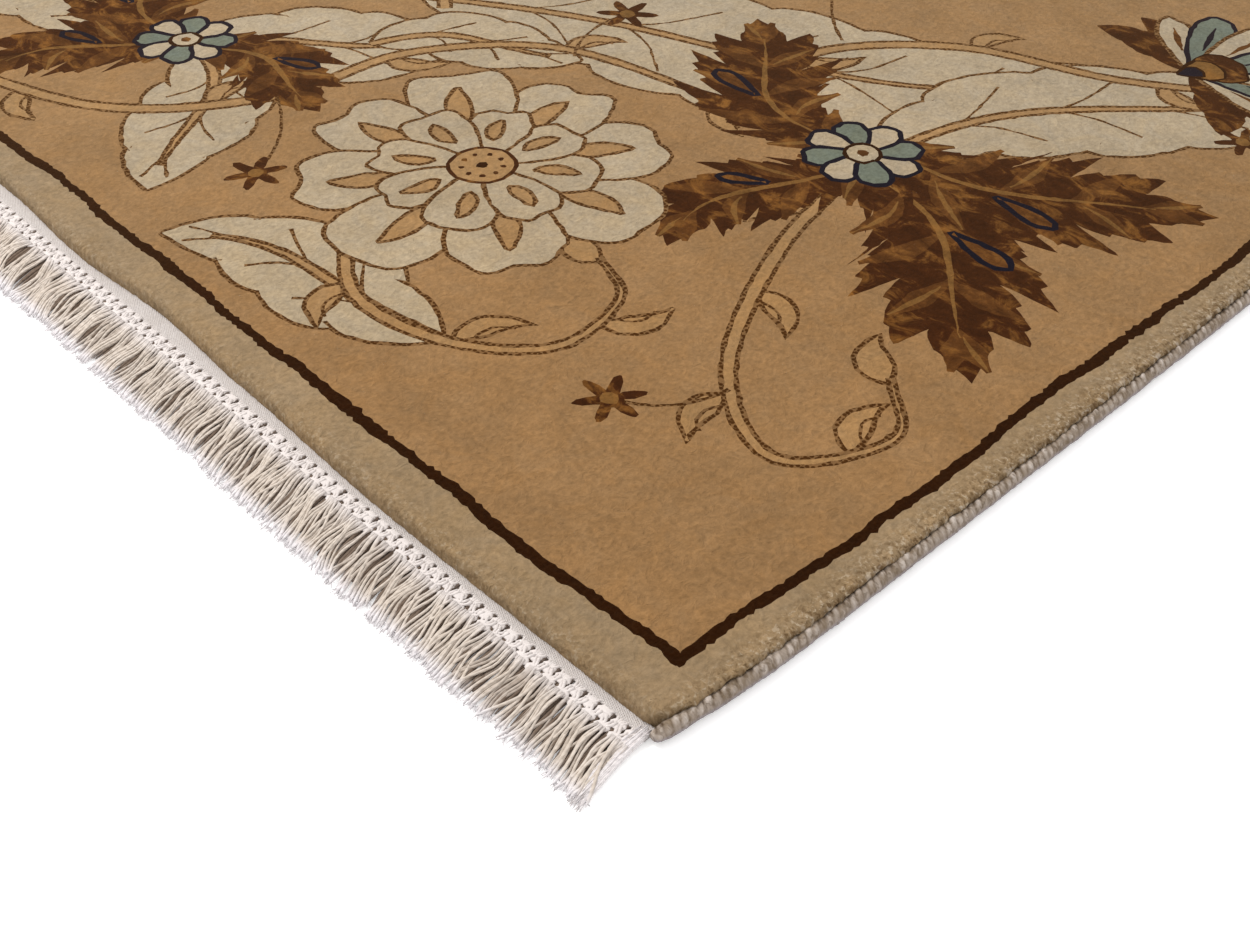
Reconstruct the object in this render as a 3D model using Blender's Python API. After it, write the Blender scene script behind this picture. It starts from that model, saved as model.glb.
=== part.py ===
# Hand-knotted pile rug with an overcast cord along each side and a knotted white fringe at each end.
# Metres. +X runs across the width, +Y along the length, +Z up from the floor.
# The origin is on the floor under the middle of the rug.
# The rug is the same when it is turned half round, so each edge is worked out once.

import math

import bmesh
import bpy

# Driving dimensions
WIDTH = 1.400             # over the two side cords
LENGTH = 2.000            # of the knotted pile, without the fringes
PILE_HEIGHT = 0.012       # foundation and cut pile together
CORD_DIAMETER = 0.0085    # overcast cord along each side
CLEARANCE = 0.0003        # between pieces that touch

# Outline of the knotted carpet
CORNER_TAPER_LENGTH = 0.100   # the sides draw in over this length before each end
CORNER_TAPER = 0.0065
CORNER_ROUNDING = 0.0020
SIDE_WAVE = 0.0007
SIDE_WAVE_LENGTH = 0.710
# How far the end edge strays outward from its straight line, at places across the width.
END_EDGE = (
    {"x": -0.690, "outward": 0.0000},
    {"x": -0.500, "outward": 0.0020},
    {"x": -0.300, "outward": -0.0020},
    {"x": -0.100, "outward": 0.0018},
    {"x": 0.070, "outward": -0.0035},
    {"x": 0.170, "outward": 0.0007},
    {"x": 0.260, "outward": -0.0045},
    {"x": 0.350, "outward": -0.0010},
    {"x": 0.480, "outward": 0.0024},
    {"x": 0.690, "outward": 0.0000},
)

# Section of the carpet's rim, from the underside up to the flat of the pile
RIM = (
    {"inset": 0.0015, "height": 0.0000},
    {"inset": 0.0003, "height": 0.0022},
    {"inset": 0.0000, "height": 0.0075},
    {"inset": 0.0012, "height": 0.0104},
    {"inset": 0.0042, "height": 0.0120},
)
CELLS_ACROSS = 32
CELLS_ALONG = 34
CLOSE_TO_EDGE = (0.006, 0.022)   # extra lines of the mesh at these distances from an edge
PILE_UNEVENNESS = 0.0005

# White woven strip and knotted fringe at each end
STRIP_WIDTH = 0.0080
STRIP_THICKNESS = 0.0030
STRIP_END_INSET = 0.0005      # the strip stops this far inside the carpet's corner
LOCKS = 146
LOCK_TOP_SHARE = 0.72         # a lock is narrower on top than on the floor
LOCK_LENGTH_CHANGE = 0.0015   # locks are cut by eye
# Section of a lock: how far out from the strip, its share of the pitch, and its height.
LOCK_SECTIONS = (
    {"out": 0.0000, "share": 0.60, "height": 0.0030},
    {"out": 0.0045, "share": 0.84, "height": 0.0046},
    {"out": 0.0200, "share": 0.88, "height": 0.0034},
    {"out": 0.0455, "share": 0.70, "height": 0.0016},
)
# How far towards +X the locks' tips lie from their roots, at places across the width.
LOCK_LEANS = (
    {"x": -0.690, "lean": -0.0060},
    {"x": -0.600, "lean": 0.0040},
    {"x": -0.400, "lean": 0.0140},
    {"x": -0.100, "lean": 0.0170},
    {"x": 0.120, "lean": 0.0190},
    {"x": 0.250, "lean": 0.0120},
    {"x": 0.350, "lean": 0.0160},
    {"x": 0.500, "lean": 0.0130},
    {"x": 0.600, "lean": 0.0060},
    {"x": 0.690, "lean": 0.0070},
)

CORD_SIDES = 8
CORD_TIP_LENGTH = 0.002
CORD_TIP_SHARE = 0.6          # the cord's end is rounded down to this share of its size

PILE_COLOUR = (0.330, 0.190, 0.080)
BINDING_COLOUR = (0.290, 0.220, 0.150)
FRINGE_COLOUR = (0.700, 0.640, 0.580)
WOOL_ROUGHNESS = 0.90
COTTON_ROUGHNESS = 0.85


def clear_scene():
    for obj in list(bpy.data.objects):
        bpy.data.objects.remove(obj, do_unlink=True)


def cloth_material(name, colour, roughness):
    material = bpy.data.materials.new(name)
    material.use_nodes = True
    shader = material.node_tree.nodes["Principled BSDF"]
    shader.inputs["Base Color"].default_value = (*colour, 1.0)
    shader.inputs["Roughness"].default_value = roughness
    shader.inputs["Metallic"].default_value = 0.0
    return material


def between(rows, column, x):
    """The value of a table's column at x, changing smoothly from row to row."""
    for left, right in zip(rows, rows[1:]):
        if x <= right["x"]:
            share = max(0.0, (x - left["x"]) / (right["x"] - left["x"]))
            smooth = share * share * (3 - 2 * share)
            return left[column] + smooth * (right[column] - left[column])
    return rows[-1][column]


def spread(cells, half_size):
    """Even steps from -1 to 1, with extra ones close to both edges."""
    steps = [-1 + 2 * k / cells for k in range(cells + 1)]
    for distance in CLOSE_TO_EDGE:
        steps += [1 - distance / half_size, distance / half_size - 1]
    return sorted(steps)


ACROSS = spread(CELLS_ACROSS, WIDTH / 2)
ALONG = spread(CELLS_ALONG, LENGTH / 2)


def carpet_half_width(y):
    """How far the carpet reaches towards +X at y."""
    from_end = LENGTH / 2 - abs(y)
    taper = CORNER_TAPER * max(0.0, 1 - from_end / CORNER_TAPER_LENGTH) ** 2
    wave = SIDE_WAVE * math.sin(2 * math.pi * y / SIDE_WAVE_LENGTH + 0.6)
    return WIDTH / 2 - CORD_DIAMETER - CLEARANCE - SIDE_WAVE + wave - taper


def carpet_half_length(x):
    """How far the carpet reaches towards -Y at x."""
    return LENGTH / 2 + between(END_EDGE, "outward", x)


def carpet_point(across, along, inset):
    """Plan position for steps from -1 to 1, drawn in from the outline by inset."""
    side = 1 if across >= 0 else -1
    end = 1 if along >= 0 else -1
    x = across * (carpet_half_width(side * along * LENGTH / 2) - inset)
    y = along * (carpet_half_length(-end * x) - inset)
    if abs(across) == 1 and abs(along) == 1:
        x -= side * CORNER_ROUNDING
        y -= end * CORNER_ROUNDING
    return x, y


def unevenness(x, y):
    """The cut pile is a little higher and lower from place to place."""
    first = math.sin(9.1 * x + 3.7 * y + 0.4)
    second = math.sin(5.3 * y - 6.9 * x + 1.9)
    return PILE_UNEVENNESS * (first + second)


def outline_steps():
    """The steps round the carpet's outline, anticlockwise from the -X, -Y corner."""
    steps = [(across, -1.0) for across in ACROSS[:-1]]
    steps += [(1.0, along) for along in ALONG[:-1]]
    steps += [(across, 1.0) for across in reversed(ACROSS[1:])]
    steps += [(-1.0, along) for along in reversed(ALONG[1:])]
    return steps


def finish_object(name, form, material, turned):
    """Makes a mesh object, turned half round about the rug's middle if asked."""
    bmesh.ops.recalc_face_normals(form, faces=form.faces[:])
    mesh = bpy.data.meshes.new(name)
    form.to_mesh(mesh)
    form.free()
    mesh.materials.append(material)
    mesh.shade_smooth()
    mesh.set_sharp_from_angle(angle=math.radians(40))
    obj = bpy.data.objects.new(name, mesh)
    obj.rotation_euler.z = math.pi if turned else 0.0
    bpy.context.scene.collection.objects.link(obj)


def make_carpet(material):
    """One slab with a flat underside, a rounded rim and a slightly uneven top."""
    form = bmesh.new()
    steps = outline_steps()
    rings = []
    for row in RIM:
        share = row["height"] / PILE_HEIGHT
        ring = []
        for across, along in steps:
            x, y = carpet_point(across, along, row["inset"])
            ring.append(form.verts.new((x, y, row["height"] + share * unevenness(x, y))))
        rings.append(ring)
    for low, high in zip(rings, rings[1:]):
        for k in range(len(low)):
            form.faces.new((low[k - 1], low[k], high[k], high[k - 1]))
    form.faces.new(rings[0])

    on_rim = dict(zip(steps, rings[-1]))
    columns = []
    for across in ACROSS:
        column = []
        for along in ALONG:
            if (across, along) in on_rim:
                column.append(on_rim[across, along])
                continue
            x, y = carpet_point(across, along, RIM[-1]["inset"])
            column.append(form.verts.new((x, y, PILE_HEIGHT + unevenness(x, y))))
        columns.append(column)
    for left, right in zip(columns, columns[1:]):
        for k in range(1, len(ALONG)):
            form.faces.new((left[k - 1], right[k - 1], right[k], left[k]))
    finish_object("knotted_carpet", form, material, False)


def cord_ring(form, y, share):
    """Corners of the cord at y. Two of its flats face the floor and the carpet."""
    radius = share * CORD_DIAMETER / 2
    centre_x = carpet_half_width(y) + CLEARANCE + CORD_DIAMETER / 2
    reach = radius / math.cos(math.pi / CORD_SIDES)
    ring = []
    for s in range(CORD_SIDES):
        angle = 2 * math.pi * (s + 0.5) / CORD_SIDES
        corner = (centre_x + reach * math.cos(angle), y, radius + reach * math.sin(angle))
        ring.append(form.verts.new(corner))
    return ring


def make_side_cord(name, material, turned):
    """The overcast cord that finishes a side, lying on the floor against the carpet."""
    form = bmesh.new()
    rings = [cord_ring(form, along * LENGTH / 2, 1.0) for along in ALONG]
    rings.insert(0, cord_ring(form, -LENGTH / 2 - CORD_TIP_LENGTH, CORD_TIP_SHARE))
    rings.append(cord_ring(form, LENGTH / 2 + CORD_TIP_LENGTH, CORD_TIP_SHARE))
    for ring, following in zip(rings, rings[1:]):
        for s in range(CORD_SIDES):
            form.faces.new((ring[s - 1], ring[s], following[s], following[s - 1]))
    form.faces.new(rings[0])
    form.faces.new(rings[-1])
    finish_object(name, form, material, turned)


def strip_inner_edge(form, first_x, last_x):
    """Low and high corners of the strip where it meets the carpet's end, with the carpet's own bends."""
    bends = [carpet_point(across, -1.0, 0.0)[0] for across in ACROSS[1:-1]]
    places = [first_x] + [x for x in bends if first_x + 0.002 < x < last_x - 0.002] + [last_x]
    edge = []
    for x in places:
        y = -(carpet_half_length(x) + CLEARANCE)
        edge.append((form.verts.new((x, y, 0.0)), form.verts.new((x, y, STRIP_THICKNESS))))
    return edge


def add_lock(form, root_x, root_y, pitch, tip_shift):
    """One lock of the fringe from the strip to its tip. Returns its two root edges, left and right."""
    lean = between(LOCK_LEANS, "lean", root_x)
    length = LOCK_SECTIONS[-1]["out"]
    sections = []
    for k, row in enumerate(LOCK_SECTIONS):
        reach = row["out"] / length
        x = root_x + lean * reach**2
        y = root_y - row["out"] - tip_shift * reach**3
        half = row["share"] * pitch / 2
        top_half = half * (LOCK_TOP_SHARE if k else 1.0)
        corners = (
            (x - half, y, 0.0),
            (x + half, y, 0.0),
            (x + top_half, y, row["height"]),
            (x - top_half, y, row["height"]),
        )
        sections.append([form.verts.new(corner) for corner in corners])
    for near, far in zip(sections, sections[1:]):
        for c in range(4):
            form.faces.new((near[c - 1], near[c], far[c], far[c - 1]))
    form.faces.new(sections[-1])
    left_low, right_low, right_high, left_high = sections[0]
    return (left_low, left_high), (right_low, right_high)


def fill_between(form, inner, outer):
    """Fills the space between two rows of corners that both run towards +X."""
    i = j = 0
    while i + 1 < len(inner) or j + 1 < len(outer):
        inner_left = i + 1 < len(inner)
        outer_left = j + 1 < len(outer)
        if not outer_left or (inner_left and inner[i + 1].co.x < outer[j + 1].co.x):
            form.faces.new((inner[i], outer[j], inner[i + 1]))
            i += 1
        else:
            form.faces.new((inner[i], outer[j], outer[j + 1]))
            j += 1


def make_fringe(name, material, turned):
    """The white woven strip along an end and, in one piece with it, its locks lying on the floor."""
    form = bmesh.new()
    first_x = -(carpet_half_width(LENGTH / 2) - STRIP_END_INSET)
    last_x = carpet_half_width(-LENGTH / 2) - STRIP_END_INSET
    pitch = (last_x - first_x) / LOCKS
    outer_y = -(LENGTH / 2 + STRIP_WIDTH)
    inner = strip_inner_edge(form, first_x, last_x)
    first, last = (
        (form.verts.new((x, outer_y, 0.0)), form.verts.new((x, outer_y, STRIP_THICKNESS)))
        for x in (first_x, last_x)
    )
    outer = [first]
    for k in range(LOCKS):
        tip_shift = LOCK_LENGTH_CHANGE * (math.sin(1.7 * k) + math.sin(0.37 * k + 1.0))
        outer += add_lock(form, first_x + (k + 0.5) * pitch, outer_y, pitch, tip_shift)
    outer.append(last)

    for level in (0, 1):
        fill_between(form, [pair[level] for pair in inner], [pair[level] for pair in outer])
    for left, right in list(zip(inner, inner[1:])) + list(zip(outer[::2], outer[1::2])):
        form.faces.new((left[0], right[0], right[1], left[1]))
    form.faces.new((first[0], inner[0][0], inner[0][1], first[1]))
    form.faces.new((last[0], inner[-1][0], inner[-1][1], last[1]))
    finish_object(name, form, material, turned)


def make_rug():
    clear_scene()
    pile = cloth_material("wool_pile", PILE_COLOUR, WOOL_ROUGHNESS)
    binding = cloth_material("wool_overcast", BINDING_COLOUR, WOOL_ROUGHNESS)
    cotton = cloth_material("cotton_fringe", FRINGE_COLOUR, COTTON_ROUGHNESS)
    make_carpet(pile)
    make_side_cord("side_cord_right", binding, False)
    make_side_cord("side_cord_left", binding, True)
    make_fringe("fringe_front", cotton, False)
    make_fringe("fringe_back", cotton, True)


make_rug()
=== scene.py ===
import math

import bpy
import numpy as np
from mathutils import Matrix, Vector, geometry


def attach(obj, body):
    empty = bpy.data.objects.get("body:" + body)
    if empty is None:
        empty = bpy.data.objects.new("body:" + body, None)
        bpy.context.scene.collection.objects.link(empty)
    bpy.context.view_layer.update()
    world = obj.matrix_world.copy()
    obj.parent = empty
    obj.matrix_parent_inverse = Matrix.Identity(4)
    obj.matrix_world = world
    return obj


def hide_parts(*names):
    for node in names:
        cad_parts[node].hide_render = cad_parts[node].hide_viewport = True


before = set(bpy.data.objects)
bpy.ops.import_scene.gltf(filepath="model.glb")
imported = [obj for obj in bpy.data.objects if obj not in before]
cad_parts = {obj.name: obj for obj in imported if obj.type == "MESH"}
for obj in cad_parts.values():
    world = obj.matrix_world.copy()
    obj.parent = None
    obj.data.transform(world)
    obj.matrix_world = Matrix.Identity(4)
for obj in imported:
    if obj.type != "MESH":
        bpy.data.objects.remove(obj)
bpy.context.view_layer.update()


def table(columns, *rows):
    """Rows of values as dictionaries, by the names of their columns."""
    return tuple(dict(zip(columns.split(), row)) for row in rows)


# Everything is in metres in the row frame: +X across the rug, +Y along it, +Z up from the floor.
# The rug is the same when it is turned half round, so each edge and motif is worked out once.

# Outline, the same as that of the solids
WIDTH = 1.400
LENGTH = 2.000
PILE_HEIGHT = 0.012
CORD_DIAMETER = 0.0085
CLEARANCE = 0.0003
CORNER_TAPER_LENGTH = 0.100
CORNER_TAPER = 0.0065
CORNER_RADIUS = 0.0098
SIDE_WAVE = 0.0007
SIDE_WAVE_LENGTH = 0.710
PILE_UNEVENNESS = 0.0005
END_EDGE = table(
    "x outward",
    (-0.690, 0.0000),
    (-0.500, 0.0020),
    (-0.300, -0.0020),
    (-0.100, 0.0018),
    (0.070, -0.0035),
    (0.170, 0.0007),
    (0.260, -0.0045),
    (0.350, -0.0010),
    (0.480, 0.0024),
    (0.690, 0.0000),
)
LOCK_LEANS = table(
    "x lean",
    (-0.690, -0.0060),
    (-0.600, 0.0040),
    (-0.400, 0.0140),
    (-0.100, 0.0170),
    (0.120, 0.0190),
    (0.250, 0.0120),
    (0.350, 0.0160),
    (0.500, 0.0130),
    (0.600, 0.0060),
    (0.690, 0.0070),
)

# Cut pile
KNOT = 0.0028                # distance from knot to knot
RIM_STEP = 0.0039            # along the rim, between points of the mesh
RIM = table(
    "inset height",
    (0.0013, 0.0000),
    (0.0002, 0.0018),
    (0.0000, 0.0042),
    (0.0002, 0.0066),
    (0.0006, 0.0087),
    (0.0015, 0.0103),
    (0.0029, 0.0113),
    (0.0047, 0.0118),
    (0.0070, 0.0120),
)
RIM_TUFT = 0.00055           # half the range of the tufts' reach
RIM_RAGGED = 0.0002
SIDE_OVERHANG = 0.0046       # along the sides the pile leans out over the cord
EDGE_OPENS = {"side": 0.6750, "end": 0.9855}    # from here outwards the tufts lean apart
TOP_GRID = 0.026             # of the plain ground's mesh
BACK_GRID = 0.045
GRID_INSET = 0.03            # of both grids, from the edges
BACK_SHARE = 8               # the back keeps one in so many points of each shape

# Pattern
END_BORDER = 0.0285          # from the pile's end to the dark frame line's middle
SIDE_BORDER = 0.0295         # from the cord's outer side to the frame line's middle
FRAME_LINE_WIDTH = 0.0068
FRAME_WOBBLE = 0.0013
FRAME_CORNER_IN = 0.0035     # the line comes in this much more at the corners
OUTLINE_WIDTH = 0.0031       # motifs are drawn round with a line one knot wide
LINE_STEP = 0.0070           # the longest step between the points of a shape
FINE_STEP = 0.0015           # steps that a shape is worked out with
DRAWN_STEP = 0.0020          # steps of an outline before its spare points go
STROKE_STEP = 0.0050         # steps of a vein or stem
BEND_TOLERANCE = 0.00050     # how far a shape's edge may bend away from a straight step
EDGE_ROUGHNESS = 0.00030

# Fringe. Each "out" is measured outwards from the carpet's end.
STRIP_OUT = 0.0064
STRIP_THICKNESS = 0.0034
STRIP_END_INSET = 0.0005
BUNDLES = 146
FIRST_KNOTS_OUT = 0.0092
SECOND_KNOTS_OUT = 0.0152
FRINGE_OUT = 0.0515
YARN_RADIUS = 0.00086

# How uneven the hand work is: the spread of random changes
SCATTER = {
    "frame_width": 0.00045,
    "frame_knot": 0.00055,
    "strip_edge": 0.00015,
    "strip_height": 0.00012,
    "header_yarn": 0.00018,
    "knot_across": 0.0003,
    "knot_along": 0.0004,
    "yarn_length": 0.0012,
    "bundle_length": 0.0009,
    "yarn_lean": 0.0013,
    "bundle_lean": 0.0012,
}

# How deep the materials draw their finest relief
RELIEF = {
    "pile_knots": 0.00014,
    "pile_grain": 0.00060,
    "pile_swirl": 0.00110,
    "edge_tufts": 0.0014,
    "yarn_plies": 0.00007,
    "yarn_fibres": 0.00012,
    "strip_weave": 0.00025,
    "strip_fibres": 0.0003,
    "wrap_fibres": 0.0006,
    "floor": 0.0001,
}

SEED = 7


def srgb(red, green, blue):
    """Linear colour from the usual 0 to 255 numbers."""
    parts = np.array([red, green, blue]) / 255
    return (*np.where(parts <= 0.04045, parts / 12.92, ((parts + 0.055) / 1.055) ** 2.4), 1.0)


# Dyed wools of the pile, by the name of the region they fill
WOOLS = {
    "ground": srgb(131, 100, 66),
    "border": srgb(132, 111, 84),
    "cream": srgb(150, 133, 108),
    "vein": srgb(139, 107, 70),
    "line": srgb(62, 36, 10),
    "frame": srgb(36, 15, 1),
    "brown": srgb(57, 29, 9),
    "rust": srgb(80, 48, 20),
    "gold": srgb(106, 74, 37),
    "navy": srgb(14, 14, 24),
    "blue": srgb(94, 98, 84),
}
REGIONS = list(WOOLS)
BEADED = {"line": 0.92, "frame": 0.02}                   # how far a line breaks up into single knots
STREAKED = {"brown": 1.0, "rust": 0.8, "gold": 0.5}      # how far a leaf is shaded like a painted one
UNDER_LINE = srgb(78, 48, 18)                            # shows between a line's knots
STREAKS = {"dark": srgb(42, 20, 5), "gold": srgb(128, 85, 38)}
NAP_TINTS = {"warm": (1.03, 0.998, 0.94, 1.0), "cool": (0.98, 1.0, 1.04, 1.0)}
# Painted shade in the clefts and painted highlights on the tops of the edge tufts
EDGE_TUFT_PAINTED_SHADING = {"dark": srgb(88, 66, 42), "light": srgb(176, 160, 138)}
# Painted shade spots and painted highlight spots along the brink by the side cords
BRINK_PAINTED_SHADING = {"dark": srgb(84, 65, 45), "light": srgb(176, 163, 148)}
# Painted light: the pile's colours grow paler and cooler away from the nearest corner
PAINTED_LIGHT_SPAN = (0.30, 0.85)         # how far from the nearest corner the painted light starts to pale the colours, and has paled them
PAINTED_LIGHT_TINT = (1.0, 1.07, 1.18, 1.0)
PAINTED_LIGHT_ON_DARKS = 0.06           # how much of the ground's colour the darkest wools take on under the painted light

# Wool of the side cords, with painted shade below on the outer side, between the wraps and in the groove by
# the pile
WRAPS = {"dark": srgb(124, 107, 88), "light": srgb(186, 174, 164), "below": srgb(138, 131, 134)}
WRAP_SPOTS = srgb(96, 80, 62)
WRAP_PAINTED_SHADE = srgb(68, 50, 32)

# Cotton of the fringe, with painted shade in the ply grooves and on the yarns that lie deep
YARN = {"dull": srgb(196, 182, 167), "clean": srgb(212, 202, 193)}
# Painted shade in the grooves between the plies
YARN_PLY_SHADE = srgb(140, 118, 100)
YARN_TIPS = srgb(222, 217, 219)
# Painted shade on the yarns that lie deep
YARN_DEPTH_SHADE = srgb(84, 62, 44)
WOVEN = {"dull": srgb(196, 187, 181), "clean": srgb(207, 200, 197)}
PLY_TURN = 0.0042            # how far along a yarn its plies take to go round once
WEFT_STEP = 0.0011
WARP_STEP = 0.0023


def between(rows, column, x):
    """The value of a table's column at x, changing smoothly from row to row."""
    places = np.array([row["x"] for row in rows])
    values = np.array([row[column] for row in rows])
    left = np.clip(np.searchsorted(places, x) - 1, 0, len(rows) - 2)
    share = np.clip((x - places[left]) / (places[left + 1] - places[left]), 0, 1)
    smooth = share * share * (3 - 2 * share)
    return values[left] + smooth * (values[left + 1] - values[left])


def carpet_half_width(y):
    """How far the carpet reaches towards +X at y."""
    from_end = LENGTH / 2 - np.abs(y)
    taper = CORNER_TAPER * np.clip(1 - from_end / CORNER_TAPER_LENGTH, 0, None) ** 2
    wave = SIDE_WAVE * np.sin(2 * np.pi * y / SIDE_WAVE_LENGTH + 0.6)
    return WIDTH / 2 - CORD_DIAMETER - CLEARANCE - SIDE_WAVE + wave - taper


def carpet_half_length(x):
    """How far the carpet reaches towards -Y at x."""
    return LENGTH / 2 + between(END_EDGE, "outward", x)


def unevenness(x, y):
    """The cut pile is a little higher and lower from place to place."""
    first = np.sin(9.1 * x + 3.7 * y + 0.4)
    second = np.sin(5.3 * y - 6.9 * x + 1.9)
    return PILE_UNEVENNESS * (first + second)


# Mesh helpers


def make_piece(name, points, faces, material, replaced, turned=False):
    """A smooth mesh object that stands for a CAD node. faces is a list of arrays, one row to a face."""
    if turned:
        points = half_turn(points)
    mesh = bpy.data.meshes.new(name)
    mesh.vertices.add(len(points))
    mesh.vertices.foreach_set("co", np.asarray(points, np.float32).ravel())
    corners = np.concatenate([group.ravel() for group in faces]).astype(np.int32)
    sizes = np.concatenate([np.full(len(group), group.shape[1]) for group in faces])
    mesh.loops.add(len(corners))
    mesh.loops.foreach_set("vertex_index", corners)
    mesh.polygons.add(len(sizes))
    mesh.polygons.foreach_set("loop_start", (np.cumsum(sizes) - sizes).astype(np.int32))
    mesh.update(calc_edges=True)
    mesh.shade_smooth()
    mesh.materials.append(material)
    piece = bpy.data.objects.new(name, mesh)
    bpy.context.scene.collection.objects.link(piece)
    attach(piece, "root")
    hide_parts(replaced)
    return piece


def add_values(piece, name, values, domain):
    """Stores a number or a colour for each point or face, for the material to read."""
    kind = "FLOAT" if np.ndim(values) == 1 else "FLOAT_COLOR"
    layer = piece.data.attributes.new(name, kind, domain)
    field = "value" if kind == "FLOAT" else "color"
    layer.data.foreach_set(field, np.asarray(values, np.float32).ravel())


def add_uv(piece, name, places):
    """Stores a flat place for each corner of each face."""
    layer = piece.data.uv_layers.new(name=name)
    layer.uv.foreach_set("vector", np.asarray(places, np.float32).ravel())


def half_turn(points):
    """The same points, turned half round about the rug's middle."""
    return points * np.array([-1, -1, 1])[: points.shape[-1]]


def ring_faces(index):
    """Four-sided faces between each closed row of points and the next, from the points' numbers."""
    around = np.roll(index, -1, axis=-1)
    low, high = index[..., :-1, :], index[..., 1:, :]
    return np.stack([low, around[..., :-1, :], around[..., 1:, :], high], axis=-1)


def numbered(*shape):
    """The numbers of points that lie in a grid of this shape."""
    return np.arange(math.prod(shape)).reshape(shape)


def tubes(paths, radii, sides):
    """Round yarns along paths (yarn, station, xyz), with a radius for each station.

    Returns points, faces, and for each corner its share of the way round and its distance along.
    """
    count, stations = paths.shape[:2]
    along = np.gradient(paths, axis=1)
    along /= np.linalg.norm(along, axis=2, keepdims=True)
    across = np.cross(along, (0.0, 0.0, 1.0))
    across /= np.linalg.norm(across, axis=2, keepdims=True)
    upward = np.cross(across, along)
    angles = 2 * np.pi * np.arange(sides) / sides
    ring = np.cos(angles)[:, None] * across[:, :, None] + np.sin(angles)[:, None] * upward[:, :, None]
    points = paths[:, :, None] + radii[:, :, None, None] * ring

    steps = np.linalg.norm(np.diff(paths, axis=1), axis=2)
    travelled = np.concatenate([np.zeros((count, 1)), np.cumsum(steps, axis=1)], axis=1)
    index = numbered(count, stations, sides)
    quads = ring_faces(index)
    round_share = np.broadcast_to(np.arange(sides) / sides, quads.shape[:3])
    near = np.broadcast_to(travelled[:, :-1, None], quads.shape[:3])
    far = np.broadcast_to(travelled[:, 1:, None], quads.shape[:3])
    next_share = round_share + 1 / sides
    corners = ((round_share, near), (next_share, near), (next_share, far), (round_share, far))
    quad_uv = np.stack([np.stack(corner, axis=-1) for corner in corners], axis=-2)
    ends = np.concatenate([index[:, 0, ::-1], index[:, -1]])
    end_along = np.concatenate([travelled[:, 0], travelled[:, -1]])
    end_uv = np.stack([np.full(ends.shape, 0.5), np.repeat(end_along[:, None], sides, axis=1)], axis=-1)
    corner_uv = np.concatenate([quad_uv.reshape(-1, 2), end_uv.reshape(-1, 2)])
    return points.reshape(-1, 3), [quads.reshape(-1, 4), ends], corner_uv


def joined(parts):
    """Several (points, faces, corner_uv, shades) as one, in the order of make_piece."""
    points, faces, places, shades, start = [], {}, {}, [], 0
    for part_points, part_faces, part_uv, part_shade in parts:
        first = 0
        for group in part_faces:
            size = group.shape[1]
            faces.setdefault(size, []).append(group + start)
            places.setdefault(size, []).append(part_uv[first : first + group.size])
            first += group.size
        points.append(part_points)
        shades.append(part_shade)
        start += len(part_points)
    groups = [np.concatenate(faces[size]) for size in faces]
    corner_uv = np.concatenate([np.concatenate(places[size]) for size in faces])
    return np.concatenate(points), groups, corner_uv, np.concatenate(shades)


# Material helpers


class Nodes:
    """Short calls for building one material's node tree."""

    def __init__(self, name):
        self.material = bpy.data.materials.new(name)
        self.material.use_nodes = True
        self.tree = self.material.node_tree
        self.shader = self.tree.nodes["Principled BSDF"]

    def add(self, kind, inputs=None, **settings):
        node = self.tree.nodes.new(kind)
        for name, value in settings.items():
            setattr(node, name, value)
        for key, value in (inputs or {}).items():
            self.feed(node.inputs[key], value)
        return node

    def feed(self, socket, value):
        if isinstance(value, bpy.types.NodeSocket):
            self.tree.links.new(value, socket)
        else:
            socket.default_value = value

    def math(self, operation, first, second=0.0):
        return self.add("ShaderNodeMath", {0: first, 1: second}, operation=operation).outputs[0]

    def times(self, first, second):
        return self.math("MULTIPLY", first, second)

    def remap(self, value, low, high, to_low, to_high):
        inputs = {0: value, 1: low, 2: high, 3: to_low, 4: to_high}
        return self.add("ShaderNodeMapRange", inputs).outputs[0]

    def mix(self, share, first, second, blend="MIX"):
        node = self.add("ShaderNodeMix", data_type="RGBA", blend_type=blend)
        self.feed(node.inputs[0], share)
        self.feed(node.inputs[6], first)
        self.feed(node.inputs[7], second)
        return node.outputs[2]

    def noise(self, place, scale, detail=2.0, roughness=0.5, distortion=0.0):
        """Soft noise. A scale of three numbers stretches it along the axes."""
        if isinstance(scale, tuple):
            place = self.add("ShaderNodeMapping", {"Vector": place, "Scale": scale}).outputs[0]
            scale = 1.0
        inputs = {"Vector": place, "Scale": scale, "Detail": detail, "Roughness": roughness}
        return self.add("ShaderNodeTexNoise", {**inputs, "Distortion": distortion}).outputs[0]

    def about(self, value, low, high):
        """A noise's usual range, spread from low to high."""
        return self.remap(value, 0.25, 0.75, low, high)

    def place(self):
        return self.add("ShaderNodeTexCoord").outputs["Object"]

    def value(self, name):
        return self.add("ShaderNodeAttribute", attribute_name=name).outputs["Fac"]

    def colour(self, name):
        return self.add("ShaderNodeAttribute", attribute_name=name).outputs["Color"]

    def brighten(self, colour, factor):
        """Multiplies a colour by a number."""
        grey = self.add("ShaderNodeCombineColor", {0: factor, 1: factor, 2: factor}).outputs[0]
        return self.mix(1.0, colour, grey, "MULTIPLY")

    def bump(self, height, distance, before=None):
        inputs = {"Height": height, "Distance": distance, "Strength": 1.0}
        if before is not None:
            inputs["Normal"] = before
        return self.add("ShaderNodeBump", inputs).outputs[0]

    def finish(self, colour, roughness, normal, sheen=0.0):
        self.feed(self.shader.inputs["Base Color"], colour)
        self.feed(self.shader.inputs["Roughness"], roughness)
        self.feed(self.shader.inputs["Normal"], normal)
        self.shader.inputs["Sheen Weight"].default_value = sheen
        self.shader.inputs["Sheen Roughness"].default_value = 0.6
        self.shader.inputs["Specular IOR Level"].default_value = 0.05
        return self.material


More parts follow.
